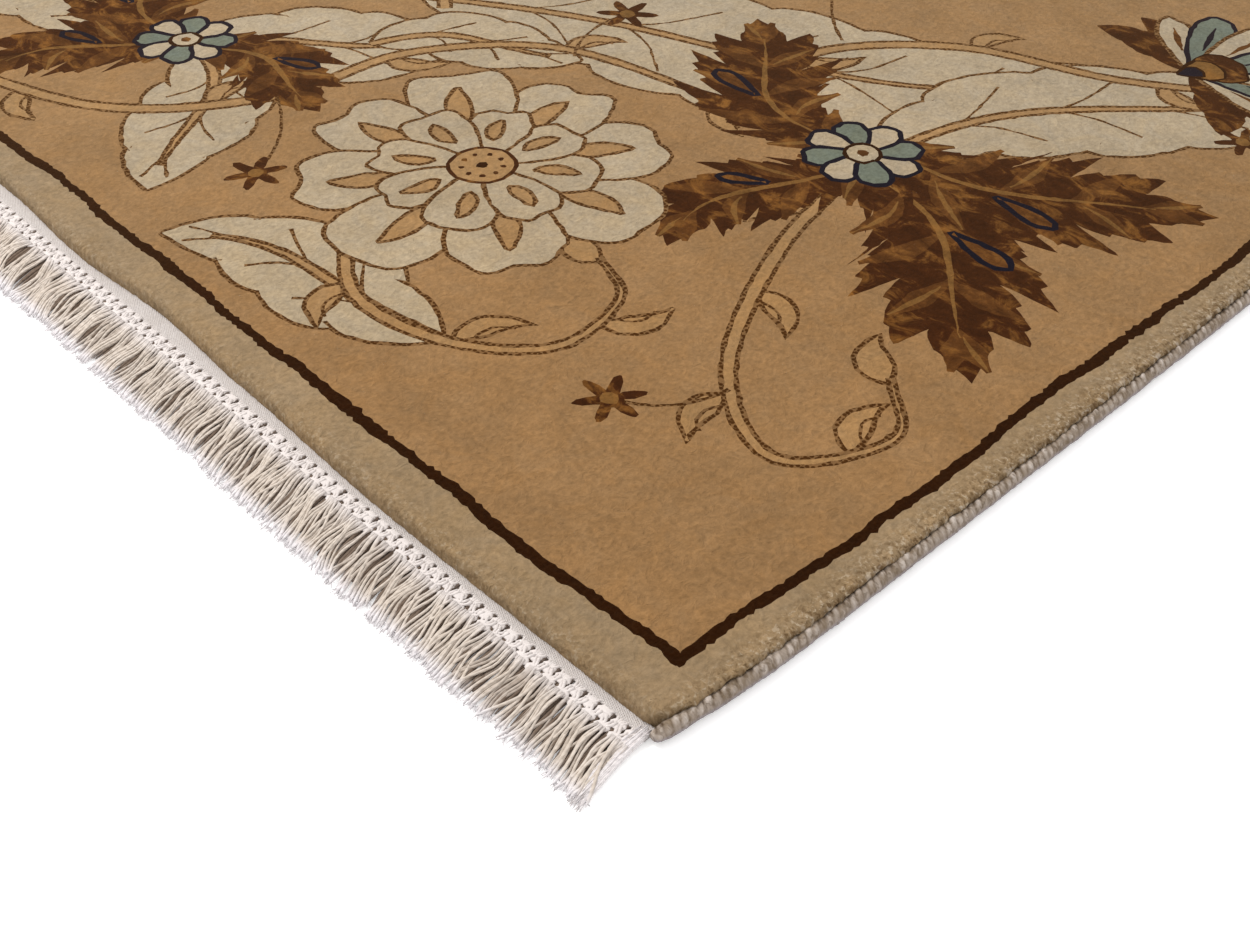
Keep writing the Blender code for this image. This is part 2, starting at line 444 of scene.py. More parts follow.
def streaked_leaves(n, place, colour):
    """Shades the leaves with dark and gold streaks, like painted ones."""
    streaks = n.noise(place, (38.0, 62.0, 1.0), 5.0, 0.66, 0.8)
    share = n.value("streaked")
    dark = n.times(n.remap(streaks, 0.34, 0.52, 0.80, 0.0), share)
    gold = n.times(n.remap(streaks, 0.52, 0.70, 0.0, 0.85), share)
    colour = n.mix(dark, colour, STREAKS["dark"])
    return n.mix(gold, colour, STREAKS["gold"])


def nap_tones_and_painted_sheen(n, place, colour, knot_tone, swirl, grain):
    """Gives the pile its cloudy light and dark nap as painted sheen and shade, with bands, fibres and knots
    of differing tone, a little warmer and cooler in patches.
    """
    nap = n.noise(place, 21.0, 3.0, 0.55, 0.6)
    bands = n.noise(place, (2.2, 15.0, 1.0))
    # Painted sheen: the nap's cloudy light and dark, and the swirls' light and dark as painted shade of
    # their relief
    factor = n.about(nap, 0.90, 1.10)
    factor = n.times(factor, n.about(swirl, 0.86, 1.14))
    factor = n.times(factor, n.about(bands, 0.95, 1.05))
    factor = n.times(factor, n.remap(grain, 0.30, 0.70, 0.85, 1.15))
    factor = n.times(factor, n.remap(knot_tone, 0.0, 1.0, 0.96, 1.04))
    colour = n.brighten(colour, factor)
    patches = n.remap(n.noise(place, 38.0, 4.0, 0.65, 1.2), 0.34, 0.66, 0.0, 1.0)
    tint = n.mix(patches, NAP_TINTS["warm"], NAP_TINTS["cool"])
    return n.mix(1.0, colour, tint, "MULTIPLY")


def painted_light_from_corner(n, across, along, colour):
    """Painted light: pales the colours and lifts the darkest wools away from the nearest corner."""
    from_side = n.math("SUBTRACT", WIDTH / 2, across)
    from_end = n.math("SUBTRACT", LENGTH / 2, along)
    squares = n.math("ADD", n.times(from_side, from_side), n.times(from_end, from_end))
    share = n.remap(n.math("SQRT", squares), *PAINTED_LIGHT_SPAN, 0.0, 1.0)
    colour = n.mix(share, colour, n.mix(1.0, colour, PAINTED_LIGHT_TINT, "MULTIPLY"))
    return n.mix(n.times(share, PAINTED_LIGHT_ON_DARKS), colour, WOOLS["ground"])


def relief_shade_and_highlight(n, colour, relief, darks, lights, tones, where):
    """Paints shade into the clefts of a relief and a highlight on its beads. Each range is (start, stop,
    strength).
    """
    low, high, strength = darks
    dark = n.times(n.remap(relief, low, high, strength, 0.0), where)
    low, high, strength = lights
    light = n.times(n.remap(relief, low, high, 0.0, strength), where)
    return n.mix(light, n.mix(dark, colour, tones["dark"]), tones["light"])


def wool_pile_material():
    """Cut wool pile: soft light and dark nap painted as sheen, lines that break into knots, leaves shaded
    like paint, painted shade and highlights on the tufts at the edges, and painted light that pales the
    colours away from the corners.
    """
    n = Nodes("wool_pile_dyed")
    place = n.place()
    knots = n.add(
        "ShaderNodeTexVoronoi",
        {"Vector": place, "Scale": 1 / KNOT, "Randomness": 0.6},
        voronoi_dimensions="2D",
    )
    knot_tone = n.add("ShaderNodeSeparateColor", {0: knots.outputs["Color"]}).outputs[0]
    rim_of_knot = n.remap(knots.outputs["Distance"], 0.36, 0.54, 0.0, 0.95)
    missing = n.math("LESS_THAN", knot_tone, 0.09)
    gap = n.times(n.math("MAXIMUM", rim_of_knot, missing), n.value("beaded"))
    colour = n.mix(gap, n.colour("wool"), n.mix(0.40, WOOLS["ground"], UNDER_LINE))

    swirl = n.noise(place, 110.0, 3.0, 0.62, 2.2)
    grain = n.noise(place, (420.0, 300.0, 300.0), 3.0, 0.7)
    colour = streaked_leaves(n, place, colour)
    colour = nap_tones_and_painted_sheen(n, place, colour, knot_tone, swirl, grain)
    parts = n.add("ShaderNodeSeparateXYZ", {0: place})
    across = n.math("ABSOLUTE", parts.outputs[0])
    along = n.math("ABSOLUTE", parts.outputs[1])
    # painted light: paler and cooler away from the nearest corner
    colour = painted_light_from_corner(n, across, along, colour)

    side = n.remap(across, EDGE_OPENS["side"], WIDTH / 2 - 0.008, 0.0, 1.0)
    end = n.remap(along, EDGE_OPENS["end"], LENGTH / 2, 0.0, 1.0)
    edge = n.math("MAXIMUM", side, n.times(end, 0.42))
    # Painted shade in the clefts of the edge tufts and painted highlights on their tops
    tufts = n.noise(place, (400.0, 400.0, 200.0), 2.0, 0.6, 0.5)
    colour = relief_shade_and_highlight(n, colour, tufts, (0.37, 0.46, 0.85), (0.56, 0.67, 0.80), EDGE_TUFT_PAINTED_SHADING, edge)
    # Painted shade spots and painted highlight spots along the brink by the side cord
    brink = n.remap(across, WIDTH / 2 - 0.0110, WIDTH / 2 - 0.0075, 0.0, 1.0)
    clefts = n.noise(place, (170.0, 210.0, 120.0), 2.0, 0.55, 0.4)
    colour = relief_shade_and_highlight(n, colour, clefts, (0.44, 0.52, 0.62), (0.55, 0.63, 0.55), BRINK_PAINTED_SHADING, brink)

    normal = n.bump(n.times(knots.outputs["Distance"], -1.0), RELIEF["pile_knots"])
    normal = n.bump(grain, RELIEF["pile_grain"], normal)
    normal = n.bump(swirl, RELIEF["pile_swirl"], normal)
    normal = n.bump(n.times(tufts, edge), RELIEF["edge_tufts"], normal)
    return n.finish(colour, 1.0, normal)


def cotton_material():
    """Twisted undyed cotton, with painted shade where it lies deep, cooler towards the frayed tips."""
    n = Nodes("cotton_undyed")
    place = n.place()
    yarn = n.add("ShaderNodeUVMap", uv_map="yarn").outputs[0]
    parts = n.add("ShaderNodeSeparateXYZ", {0: yarn})
    turns = n.math("DIVIDE", parts.outputs[1], PLY_TURN)
    phase = n.math("ADD", turns, n.times(parts.outputs[0], 2.0))
    ply = n.math("SINE", n.times(phase, 2 * math.pi))
    colour = n.mix(n.noise(place, 60.0, 3.0), YARN["dull"], YARN["clean"])
    # Painted shade in the grooves between the plies
    colour = n.mix(n.remap(ply, -1.0, 0.0, 0.10, 0.0), colour, YARN_PLY_SHADE)
    colour = n.mix(n.value("tip"), colour, YARN_TIPS)
    # Painted shade on the top yarns that lie deep and on the under layer
    colour = n.mix(n.value("shade"), colour, YARN_DEPTH_SHADE)
    colour = n.brighten(colour, n.about(n.noise(place, 420.0, 2.0, 0.6), 0.94, 1.05))
    normal = n.bump(ply, RELIEF["yarn_plies"])
    normal = n.bump(n.noise(place, 1500.0, 2.0, 0.6), RELIEF["yarn_fibres"], normal)
    return n.finish(colour, 0.95, normal, sheen=0.05)


def strip_material():
    """Flat-woven cotton: fine wefts along the end of the rug."""
    n = Nodes("cotton_woven")
    place = n.place()
    parts = n.add("ShaderNodeSeparateXYZ", {0: place})
    weft = n.math("SINE", n.times(parts.outputs[1], 2 * math.pi / WEFT_STEP))
    warp = n.math("SINE", n.times(parts.outputs[0], 2 * math.pi / WARP_STEP))
    weave = n.times(weft, warp)
    colour = n.mix(n.noise(place, 60.0, 3.0), WOVEN["dull"], WOVEN["clean"])
    colour = n.brighten(colour, n.remap(weave, -1.0, 1.0, 0.93, 1.04))
    colour = n.brighten(colour, n.about(n.noise(place, 700.0, 2.0, 0.6), 0.93, 1.06))
    normal = n.bump(weave, RELIEF["strip_weave"])
    normal = n.bump(n.noise(place, 800.0, 3.0, 0.6), RELIEF["strip_fibres"], normal)
    return n.finish(colour, 0.95, normal, sheen=0.05)


def overcast_material():
    """Wool wrapped over the side cord, each wrap a little different, with painted shade between the wraps,
    in the groove by the pile and below on the outer side, and a painted highlight on each wrap's crown.
    """
    n = Nodes("wool_overcast_wraps")
    place = n.place()
    # Each wrap's random tone, with painted shade on its lower side and between wraps and a painted highlight
    # on its crown
    colour = n.mix(n.value("tone"), WRAPS["dark"], WRAPS["light"])
    # Painted shade below on the outer side
    colour = n.mix(n.value("under"), colour, WRAPS["below"])
    mottle = n.noise(place, (260.0, 330.0, 260.0), 2.0, 0.6, 0.5)
    colour = n.mix(n.remap(mottle, 0.36, 0.47, 0.55, 0.0), colour, WRAP_SPOTS)
    # Painted shade between the wraps and in the groove by the pile
    colour = n.mix(n.value("shade"), colour, WRAP_PAINTED_SHADE)
    fibres = n.noise(place, (500.0, 1300.0, 500.0), 3.0, 0.65)
    colour = n.brighten(colour, n.remap(fibres, 0.28, 0.72, 0.82, 1.14))
    return n.finish(colour, 0.95, n.bump(fibres, RELIEF["wrap_fibres"]), sheen=0.06)


# Drawing the pattern


def spine(root, tip, bend, sway=0.0, steps=60):
    """A smooth line from root to tip, bowed to its left by bend and waved by sway."""
    root, tip = np.array(root), np.array(tip)
    share = np.linspace(0, 1, steps)
    direction = (tip - root) / np.linalg.norm(tip - root)
    left = np.array([-direction[1], direction[0]])
    offset = bend * 4 * share * (1 - share) + sway * np.sin(2 * np.pi * share)
    return root + share[:, None] * (tip - root) + offset[:, None] * left


def smooth_line(points, steps_between=14):
    """A smooth line through the given points."""
    points = np.array(points, float)
    padded = np.vstack([2 * points[0] - points[1], points, 2 * points[-1] - points[-2]])
    share = np.linspace(0, 1, steps_between, endpoint=False)[:, None]
    runs = []
    for a, b, c, d in zip(padded, padded[1:], padded[2:], padded[3:]):
        cubic = (3 * b - a - 3 * c + d) * share**3 + (2 * a - 5 * b + 4 * c - d) * share**2
        runs.append(0.5 * (2 * b + (c - a) * share + cubic))
    return np.vstack([*runs, points[-1]])


def lefts(line, closed=False):
    """Unit vectors to the left of the line at each of its points."""
    if closed:
        ahead = np.roll(line, -1, axis=0) - np.roll(line, 1, axis=0)
    else:
        ahead = np.gradient(line, axis=0)
    ahead = ahead / np.maximum(np.linalg.norm(ahead, axis=1, keepdims=True), 1e-9)
    return np.stack([-ahead[:, 1], ahead[:, 0]], axis=1)


def stepped(line, step, closed=False):
    """The same line with points an even step apart."""
    if closed:
        line = np.vstack([line, line[:1]])
    lengths = np.concatenate([[0], np.cumsum(np.linalg.norm(np.diff(line, axis=0), axis=1))])
    count = max(3, int(round(lengths[-1] / step)))
    places = np.linspace(0, lengths[-1], count + 1)
    even = np.stack([np.interp(places, lengths, line[:, k]) for k in (0, 1)], axis=1)
    return even[:-1] if closed else even


def thinned(line):
    """The line without the points that it can spare where it runs nearly straight."""
    kept = [0]
    for k in range(2, len(line)):
        start = line[kept[-1]]
        chord = line[k] - start
        length = math.hypot(chord[0], chord[1])
        passed = line[kept[-1] + 1 : k] - start
        away = np.abs(chord[0] * passed[:, 1] - chord[1] * passed[:, 0]).max() / max(length, 1e-9)
        if away > BEND_TOLERANCE or length > LINE_STEP:
            kept.append(k - 1)
    return line[kept + [len(line) - 1]]


def drawn_line(line, closed=False):
    """A line or a closed loop with as many points as its bends need."""
    return thinned(stepped(line, DRAWN_STEP, closed))


def widened(loop, amount):
    """A closed loop moved outwards by amount, or inwards where that is less than zero."""
    following = np.roll(loop, -1, axis=0)
    area = np.sum(loop[:, 0] * following[:, 1] - following[:, 0] * loop[:, 1])
    return loop - np.sign(area) * amount * lefts(loop, closed=True)


def polar(centre, reach, angle):
    """Points at the given distances and angles from a centre."""
    return np.array(centre) + np.stack([reach * np.cos(angle), reach * np.sin(angle)], axis=-1)


def circle(centre, radius, count):
    return polar(centre, np.full(count, radius), 2 * np.pi * np.arange(count) / count)


class Pattern:
    """Shapes laid one over the other, each filled with one wool."""

    def __init__(self):
        self.shapes = []
        self.random = np.random.default_rng(SEED)

    def add(self, region, loop):
        """A shape whose edge is as uneven as whole knots make it."""
        loop = loop + self.random.normal(0, EDGE_ROUGHNESS, loop.shape)
        self.shapes.append((REGIONS.index(region), loop))

    def fill(self, region, loop):
        self.add(region, drawn_line(loop, closed=True))

    def outlined(self, region, loop, line="line", width=OUTLINE_WIDTH):
        """A filled shape with a line all round it."""
        loop = drawn_line(loop, closed=True)
        loop = loop + self.random.normal(0, EDGE_ROUGHNESS, loop.shape)
        self.add(line, widened(loop, width / 2))
        self.add(region, widened(loop, -width / 2))

    def stroke(self, region, line, width, taper=0.0):
        """A line of the given width. taper is the share of its length over which each end thins out."""
        line = stepped(line, STROKE_STEP)
        share = np.linspace(0, 1, len(line))
        half = np.broadcast_to(width, len(line)) / 2
        if taper > 0:
            half = half * np.clip(np.minimum(share, 1 - share) / taper, 0.12, 1) ** 0.7
        side = lefts(line) * half[:, None]
        self.add(region, np.vstack([line + side, (line - side)[::-1]]))

    def band(self, region, line, widths):
        """A strip of changing width with a line along both sides."""
        line = stepped(line, STROKE_STEP)
        half = np.interp(np.linspace(0, 1, len(line)), np.linspace(0, 1, len(widths)), widths) / 2
        for wool, change in (("line", OUTLINE_WIDTH / 2), (region, -OUTLINE_WIDTH / 2)):
            side = lefts(line) * np.maximum(half + change, 0.0003)[:, None]
            self.add(wool, np.vstack([line + side, (line - side)[::-1]]))


def petal_outline(base, length, width, direction, wobble, notch=0.07):
    """A broad petal, narrow where it starts and a little notched at its tip."""
    angle = np.linspace(-np.pi, np.pi, 90, endpoint=False)
    dent = notch * np.exp(-((angle / 0.30) ** 2))
    ruffle = 0.018 * np.sin(5 * angle + wobble) + 0.012 * np.sin(9 * angle + 2.3 * wobble)
    forward = length * (0.5 + 0.5 * np.cos(angle) - dent) * (1 + ruffle)
    sideways = width * np.sin(angle) * (0.60 + 0.40 * np.cos(angle)) * (1 + ruffle)
    ahead = np.array([math.cos(direction), math.sin(direction)])
    left = np.array([-ahead[1], ahead[0]])
    return np.array(base) + forward[:, None] * ahead + sideways[:, None] * left


def leaf_half_width(share):
    """How full a leaf is along its length, 1 where it is widest."""
    return np.sin(np.pi * np.clip(share, 0, 1) ** 0.85) ** 0.8


def leaf_outline(line, width, lobes=0, depth=0.0, teeth=0):
    """A leaf round its midrib. Its lobes are rounded, or pointed where it has finer teeth as well."""
    line = stepped(line, FINE_STEP)
    share = np.linspace(0, 1, len(line))
    phase = (lobes * share) % 1.0
    lobe = np.sin(np.pi * phase**0.72) ** 0.50 if lobes else np.ones(len(line))
    if teeth:
        lobe = phase**0.75 - 0.22 * (1 - (teeth * share) % 1.0)
    cut = 1 - depth * (1 - lobe)
    swell = leaf_half_width(share)
    if teeth:
        swell = swell * np.clip((1 - share) / 0.22, 0, 1) ** 0.5
    side = lefts(line) * (width / 2 * swell * cut)[:, None]
    ahead = np.gradient(line, axis=0)
    ahead /= np.linalg.norm(ahead, axis=1, keepdims=True)
    sweep = ahead * (width * (0.22 if teeth else 0.16) * phase * swell * (lobes > 0))[:, None]
    return np.vstack([line + side + sweep, (line - side + sweep)[::-1]])


def small_leaf(root, tip, bend, width):
    """A little leaf, pointed at both ends."""
    line = spine(root, tip, bend, 0.0, 24)
    share = np.linspace(0, 1, len(line))
    side = lefts(line) * (width / 2 * np.sin(np.pi * share**0.75) ** 1.25)[:, None]
    return np.vstack([line + side, (line - side)[::-1]])


DOT_RADIUS = {"ring": 0.0022, "middle": 0.0042}
LINE_WIDTH = {
    "blossom_middle": 0.0030,
    "cream_vein": 0.0022,
    "rust_streak": 0.0170,
    "gold_streak": 0.0044,
    "gold_midrib": 0.0046,
    "drop": 0.0046,
    "calyx": 0.0040,
    "palmette": 0.0038,
    "palmette_rib": 0.0052,
    "palmette_cup": 0.0020,
    "vine_leaf_rib": 0.0020,
    "star_stem": 0.0026,
}
CREAM_MIDRIB = (0.0080, 0.0082, 0.0066, 0.0030)      # its widths from root to tip

# How the vein of a lobe runs: where along the lobe it starts and ends, how far out, and how bowed
CREAM_VEIN = {"start": 0.05, "end": 0.72, "reach": 0.31, "bow": 0.36}
BROWN_VEIN = {"start": 0.02, "end": 0.80, "reach": 0.42, "bow": 0.42}


def draw_blossom(pattern, row):
    """A cream blossom of two rings of petals, each petal with a tan flame, round a beaded middle."""
    centre = np.array([row["x"], row["y"]])
    petals = row["petals"]
    for ring in ({"reach": 1.00, "offset": 0.0}, {"reach": 0.60, "offset": 0.5}):
        for k in range(petals):
            direction = math.radians(row["turn"]) + 2 * math.pi * (k + ring["offset"]) / petals
            length = ring["reach"] * row["radius"] * (1 + 0.045 * math.sin(2.1 * k + row["turn"]))
            outline = petal_outline(centre, length, 3.3 * length / petals, direction, k + row["turn"])
            pattern.outlined("cream", outline)
            root = polar(centre, 0.42 * length, direction)
            tip = polar(centre, 0.80 * length, direction)
            flame = leaf_outline(spine(root, tip, 0.03 * length), 0.11 * length + 0.003)
            pattern.outlined("vein", flame)
    middle = 0.17 * row["radius"]
    pattern.outlined("vein", circle(centre, middle, 28), "brown", LINE_WIDTH["blossom_middle"])
    for k in range(petals + 1):
        dot = polar(centre, 0.62 * middle, 2 * math.pi * k / (petals + 1))
        pattern.fill("brown", circle(dot, DOT_RADIUS["ring"], 8))
    pattern.fill("frame", circle(centre, DOT_RADIUS["middle"], 10))


def midrib(row):
    return spine((row["x"], row["y"]), (row["to_x"], row["to_y"]), row["bend"], row["sway"])


def lobe_vein(line, row, lobe, hand, vein):
    """The vein that leaves the midrib for one lobe of a leaf, on its left or right hand."""
    side = lefts(line)
    last = len(line) - 1
    start = int((lobe + vein["start"]) / row["lobes"] * last)
    end = min(last, int((lobe + vein["end"]) / row["lobes"] * last))
    reach = hand * vein["reach"] * row["width"] * leaf_half_width(end / len(line))
    middle = (start + end) // 2
    bowed = line[middle] + vein["bow"] * reach * side[middle]
    return smooth_line([line[start], bowed, line[end] + reach * side[end]], 8)


def draw_cream_leaf(pattern, row):
    """A long cream leaf cut into lobes, with a tan midrib and a thin vein in each lobe."""
    line = midrib(row)
    pattern.outlined("cream", leaf_outline(line, row["width"], row["lobes"], 0.34))
    line = stepped(line, FINE_STEP)
    for lobe in range(1, row["lobes"]):
        for hand in (-1, 1):
            vein = lobe_vein(line, row, lobe, hand, CREAM_VEIN)
            pattern.stroke("line", vein, LINE_WIDTH["cream_vein"])
    pattern.band("vein", line[: int(0.86 * len(line))], CREAM_MIDRIB)


def draw_brown_leaf(pattern, row):
    """A large jagged leaf in mottled browns, with a navy-edged drop beside its midrib."""
    line = midrib(row)
    pattern.fill("brown", leaf_outline(line, row["width"], row["lobes"], 0.46, 3 * row["lobes"]))
    line = stepped(line, FINE_STEP)
    for lobe in range(row["lobes"]):
        for hand in (-1, 1):
            vein = lobe_vein(line, row, lobe, hand, BROWN_VEIN)
            pattern.stroke("rust", vein, LINE_WIDTH["rust_streak"], 0.5)
            if (lobe + (hand > 0)) % 2:
                pattern.stroke("gold", vein[3:], LINE_WIDTH["gold_streak"], 0.5)
    last = len(line) - 1
    pattern.stroke("gold", line[: int(0.84 * last)], LINE_WIDTH["gold_midrib"], 0.4)
    draw_drop(pattern, line, int(0.40 * last), row["width"], 1 if row["bend"] > 0 else -1)


def draw_drop(pattern, line, place, width, hand):
    """A navy-edged drop that leaves a leaf's midrib at the given point."""
    ahead = line[place + 4] - line[place]
    heading = math.atan2(ahead[1], ahead[0]) + 0.55 * hand
    root = line[place] + 0.05 * width * hand * lefts(line)[place]
    drop = petal_outline(root, 0.36 * width, 0.085 * width, heading, 1.0, 0.0)
    pattern.outlined("rust", drop, "navy", LINE_WIDTH["drop"])


def draw_calyx(pattern, row):
    """Blue-grey scales with navy edges round a cream eye, where brown leaves meet."""
    centre = (row["x"], row["y"])
    for k in range(row["petals"]):
        direction = math.radians(row["turn"]) + 2 * math.pi * k / row["petals"]
        outline = petal_outline(centre, row["radius"], 0.42 * row["radius"], direction, k, 0.0)
        pattern.outlined("blue" if k % 2 else "cream", outline, "navy", LINE_WIDTH["calyx"])
    pattern.outlined("cream", circle(centre, 0.30 * row["radius"], 14), "frame")
    pattern.fill("rust", circle(centre, 0.11 * row["radius"], 8))


def draw_palmette(pattern, row):
    """A fan of blue-grey petals with navy ribs over a brown cup."""
    centre = np.array([row["x"], row["y"]])
    radius = row["radius"]
    facing = math.radians(row["turn"])
    for collar in (-1.45, 1.45, -1.9, 1.9):
        tip = polar(centre, 0.85 * radius, facing + collar)
        line = spine(centre, tip, -0.012 * np.sign(collar))
        pattern.fill("brown", leaf_outline(line, 0.36 * radius, 3, 0.3))
    for k in (0, 6, 1, 5, 2, 4, 3):
        direction = facing + 0.40 * (k - 3)
        length = radius * (1.05 - 0.045 * abs(k - 3) ** 1.5)
        wool, edge, rib = ("blue", "navy", "navy") if k % 2 else ("cream", "line", "rust")
        outline = petal_outline(centre, length, 0.235 * length, direction, k, -0.05)
        pattern.outlined(wool, outline, edge, LINE_WIDTH["palmette"])
        root, tip = polar(centre, 0.40 * length, direction), polar(centre, 0.84 * length, direction)
        pattern.stroke(rib, spine(root, tip, 0.0), LINE_WIDTH["palmette_rib"], 0.5)
    cup = centre - 0.10 * radius * np.array([math.cos(facing), math.sin(facing)])
    for reach, wool in ((0.40, "brown"), (0.27, "gold"), (0.15, "navy")):
        outline = petal_outline(cup, reach * radius * 1.25, reach * radius * 0.75, facing, 1.0, 0.0)
        pattern.outlined(wool, outline, "frame", LINE_WIDTH["palmette_cup"])


def draw_vine(pattern, row):
    """A winding stem with small leaves to its left and right in turn."""
    line = stepped(smooth_line(row["through"]), FINE_STEP)
    side = lefts(line)
    for k in range(row["leaves"]):
        place = int((k + 0.6) / (row["leaves"] + 0.4) * (len(line) - 1))
        hand = 1 if k % 2 else -1
        ahead = line[min(place + 8, len(line) - 1)] - line[place]
        ahead = ahead / max(np.linalg.norm(ahead), 1e-6)
        tip = line[place] + 0.040 * ahead + hand * 0.030 * side[place]
        pattern.outlined(row["wool"], small_leaf(line[place], tip, hand * 0.009, 0.0190))
        root, end = 0.75 * line[place] + 0.25 * tip, 0.25 * line[place] + 0.75 * tip
        pattern.stroke("line", spine(root, end, hand * 0.006), LINE_WIDTH["vine_leaf_rib"])
    ahead = (line[-1] - line[-9]) / np.linalg.norm(line[-1] - line[-9])
    tip = line[-1] + 0.042 * ahead
    pattern.outlined(row["wool"], small_leaf(line[-1] - 0.006 * ahead, tip, 0.008, 0.0230))
    if row["wool"] == "brown":
        line = stepped(line, STROKE_STEP)
        share = np.linspace(0, 1, len(line))
        pattern.stroke("brown", line, row["width"] * (0.70 + 0.30 * np.sin(9 * share + 0.7)), 0.10)
    else:
        widths = np.array([1.0, 1.15, 0.9, 0.35]) * row["width"]
        pattern.band(row["wool"], line, widths)


def draw_star(pattern, row):
    """A small brown blossom with pointed petals on a thin stem."""
    centre = (row["x"], row["y"])
    stem = spine((row["from_x"], row["from_y"]), centre, 0.010)
    pattern.stroke("line", stem, LINE_WIDTH["star_stem"])
    points = row["points"]
    angle = np.linspace(0, 2 * np.pi, 12 * points, endpoint=False)
    reach = row["radius"] * (0.34 + 0.66 * np.abs(np.cos(points * angle / 2)) ** 2.2)
    pattern.fill("brown", polar(centre, reach, angle + math.radians(row["turn"])))
    pattern.fill("gold", circle(centre, 0.26 * row["radius"], 10))


# The motifs of one half of the field. The other half is these, turned half round.
CREAM_LEAVES = table(
    "x y to_x to_y bend sway width lobes",
    (0.03, -0.62, 0.50, -0.30, -0.045, 0.025, 0.185, 7),
    (0.44, -0.55, 0.63, -0.22, 0.030, 0.012, 0.135, 5),
    (-0.02, -0.80, 0.14, -0.935, 0.020, 0.008, 0.100, 4),
    (-0.03, -0.80, 0.10, -0.62, -0.020, 0.010, 0.125, 4),
    (-0.04, -0.80, -0.30, -0.92, -0.030, 0.010, 0.110, 5),
    (0.40, -0.895, 0.19, -0.955, -0.018, 0.008, 0.090, 4),
    (0.07, -0.70, 0.20, -0.60, 0.020, 0.008, 0.085, 4),
    (-0.24, -0.46, -0.60, -0.14, 0.060, -0.030, 0.145, 7),
    (-0.50, -0.45, -0.62, -0.90, 0.030, 0.015, 0.120, 6),
    (0.16, -0.24, 0.52, 0.08, 0.055, 0.020, 0.120, 6),
    (-0.08, -0.30, -0.30, -0.06, -0.030, 0.012, 0.105, 5),
)
BROWN_LEAVES = table(
    "x y to_x to_y bend sway width lobes",
    (0.43, -0.57, 0.635, -0.70, 0.030, 0.010, 0.140, 5),
    (0.43, -0.53, 0.64, -0.44, -0.025, -0.008, 0.135, 5),
    (0.41, -0.55, 0.24, -0.45, 0.025, 0.010, 0.130, 5),
    (0.44, -0.56, 0.42, -0.73, -0.020, 0.008, 0.095, 4),
    (-0.04, -0.80, -0.19, -0.72, 0.022, 0.008, 0.135, 5),
    (-0.03, -0.80, -0.08, -0.945, -0.020, 0.008, 0.100, 4),
    (-0.01, -0.80, 0.13, -0.79, 0.020, 0.008, 0.100, 4),
    (-0.50, -0.42, -0.65, -0.56, -0.028, 0.010, 0.135, 5),
    (-0.49, -0.43, -0.40, -0.58, 0.024, -0.010, 0.125, 5),
    (-0.48, -0.40, -0.34, -0.30, 0.024, -0.010, 0.100, 4),
    (0.55, -0.04, 0.64, 0.12, -0.020, 0.010, 0.095, 4),
    (-0.12, -0.24, -0.27, -0.22, -0.020, 0.010, 0.090, 4),
)
CALYXES = table(
    "x y radius petals turn",
    (0.430, -0.550, 0.042, 8, 10),
    (-0.030, -0.800, 0.038, 8, 0),
    (-0.490, -0.420, 0.040, 8, 20),
)
PALMETTES = table(
    "x y radius turn",
    (0.520, -0.275, 0.110, 62),
    (-0.270, -0.580, 0.100, -60),
    (0.000, -0.105, 0.090, -90),
)
BLOSSOMS = table(
    "x y radius petals turn",
    (0.265, -0.752, 0.135, 8, 14),
    (-0.420, -0.780, 0.120, 8, 40),
    (0.120, -0.380, 0.105, 7, 5),
    (-0.500, -0.140, 0.100, 7, 20),
    (0.370, -0.070, 0.110, 8, 31),
)
VINES = table(
    "wool width leaves through",
    ("vein", 0.0100, 5, ((-0.12, -0.955), (0.02, -0.9), (0.09, -0.8), (0.1, -0.69), (0.17, -0.6),
                         (0.3, -0.57), (0.43, -0.56))),
    ("vein", 0.0090, 4, ((0.44, -0.57), (0.47, -0.68), (0.53, -0.79), (0.6, -0.83), (0.635, -0.77),
                         (0.6, -0.73))),
    ("vein", 0.0080, 3, ((0.27, -0.87), (0.33, -0.905), (0.4, -0.895), (0.45, -0.85), (0.44, -0.79),
                         (0.4, -0.77))),
    ("vein", 0.0095, 4, ((0.33, -0.56), (0.31, -0.46), (0.38, -0.37), (0.5, -0.32), (0.61, -0.22),
                         (0.59, -0.1))),
    ("vein", 0.0100, 6, ((0.06, -0.62), (-0.04, -0.54), (-0.08, -0.43), (-0.2, -0.37), (-0.34, -0.41),
                         (-0.48, -0.42))),
    ("brown", 0.0080, 0, ((-0.12, -0.71), (-0.22, -0.66), (-0.27, -0.6))),
    ("vein", 0.0090, 5, ((-0.06, -0.8), (-0.18, -0.82), (-0.28, -0.8), (-0.38, -0.9), (-0.52, -0.93))),
    ("vein", 0.0095, 3, ((0.12, -0.38), (0.2, -0.28), (0.3, -0.22), (0.36, -0.12))),
    ("brown", 0.0080, 2, ((-0.55, -0.13), (-0.63, -0.03), (-0.62, 0.1))),
    ("vein", 0.0090, 4, ((0.08, -0.36), (-0.02, -0.27), (-0.06, -0.15), (0, 0))),
)
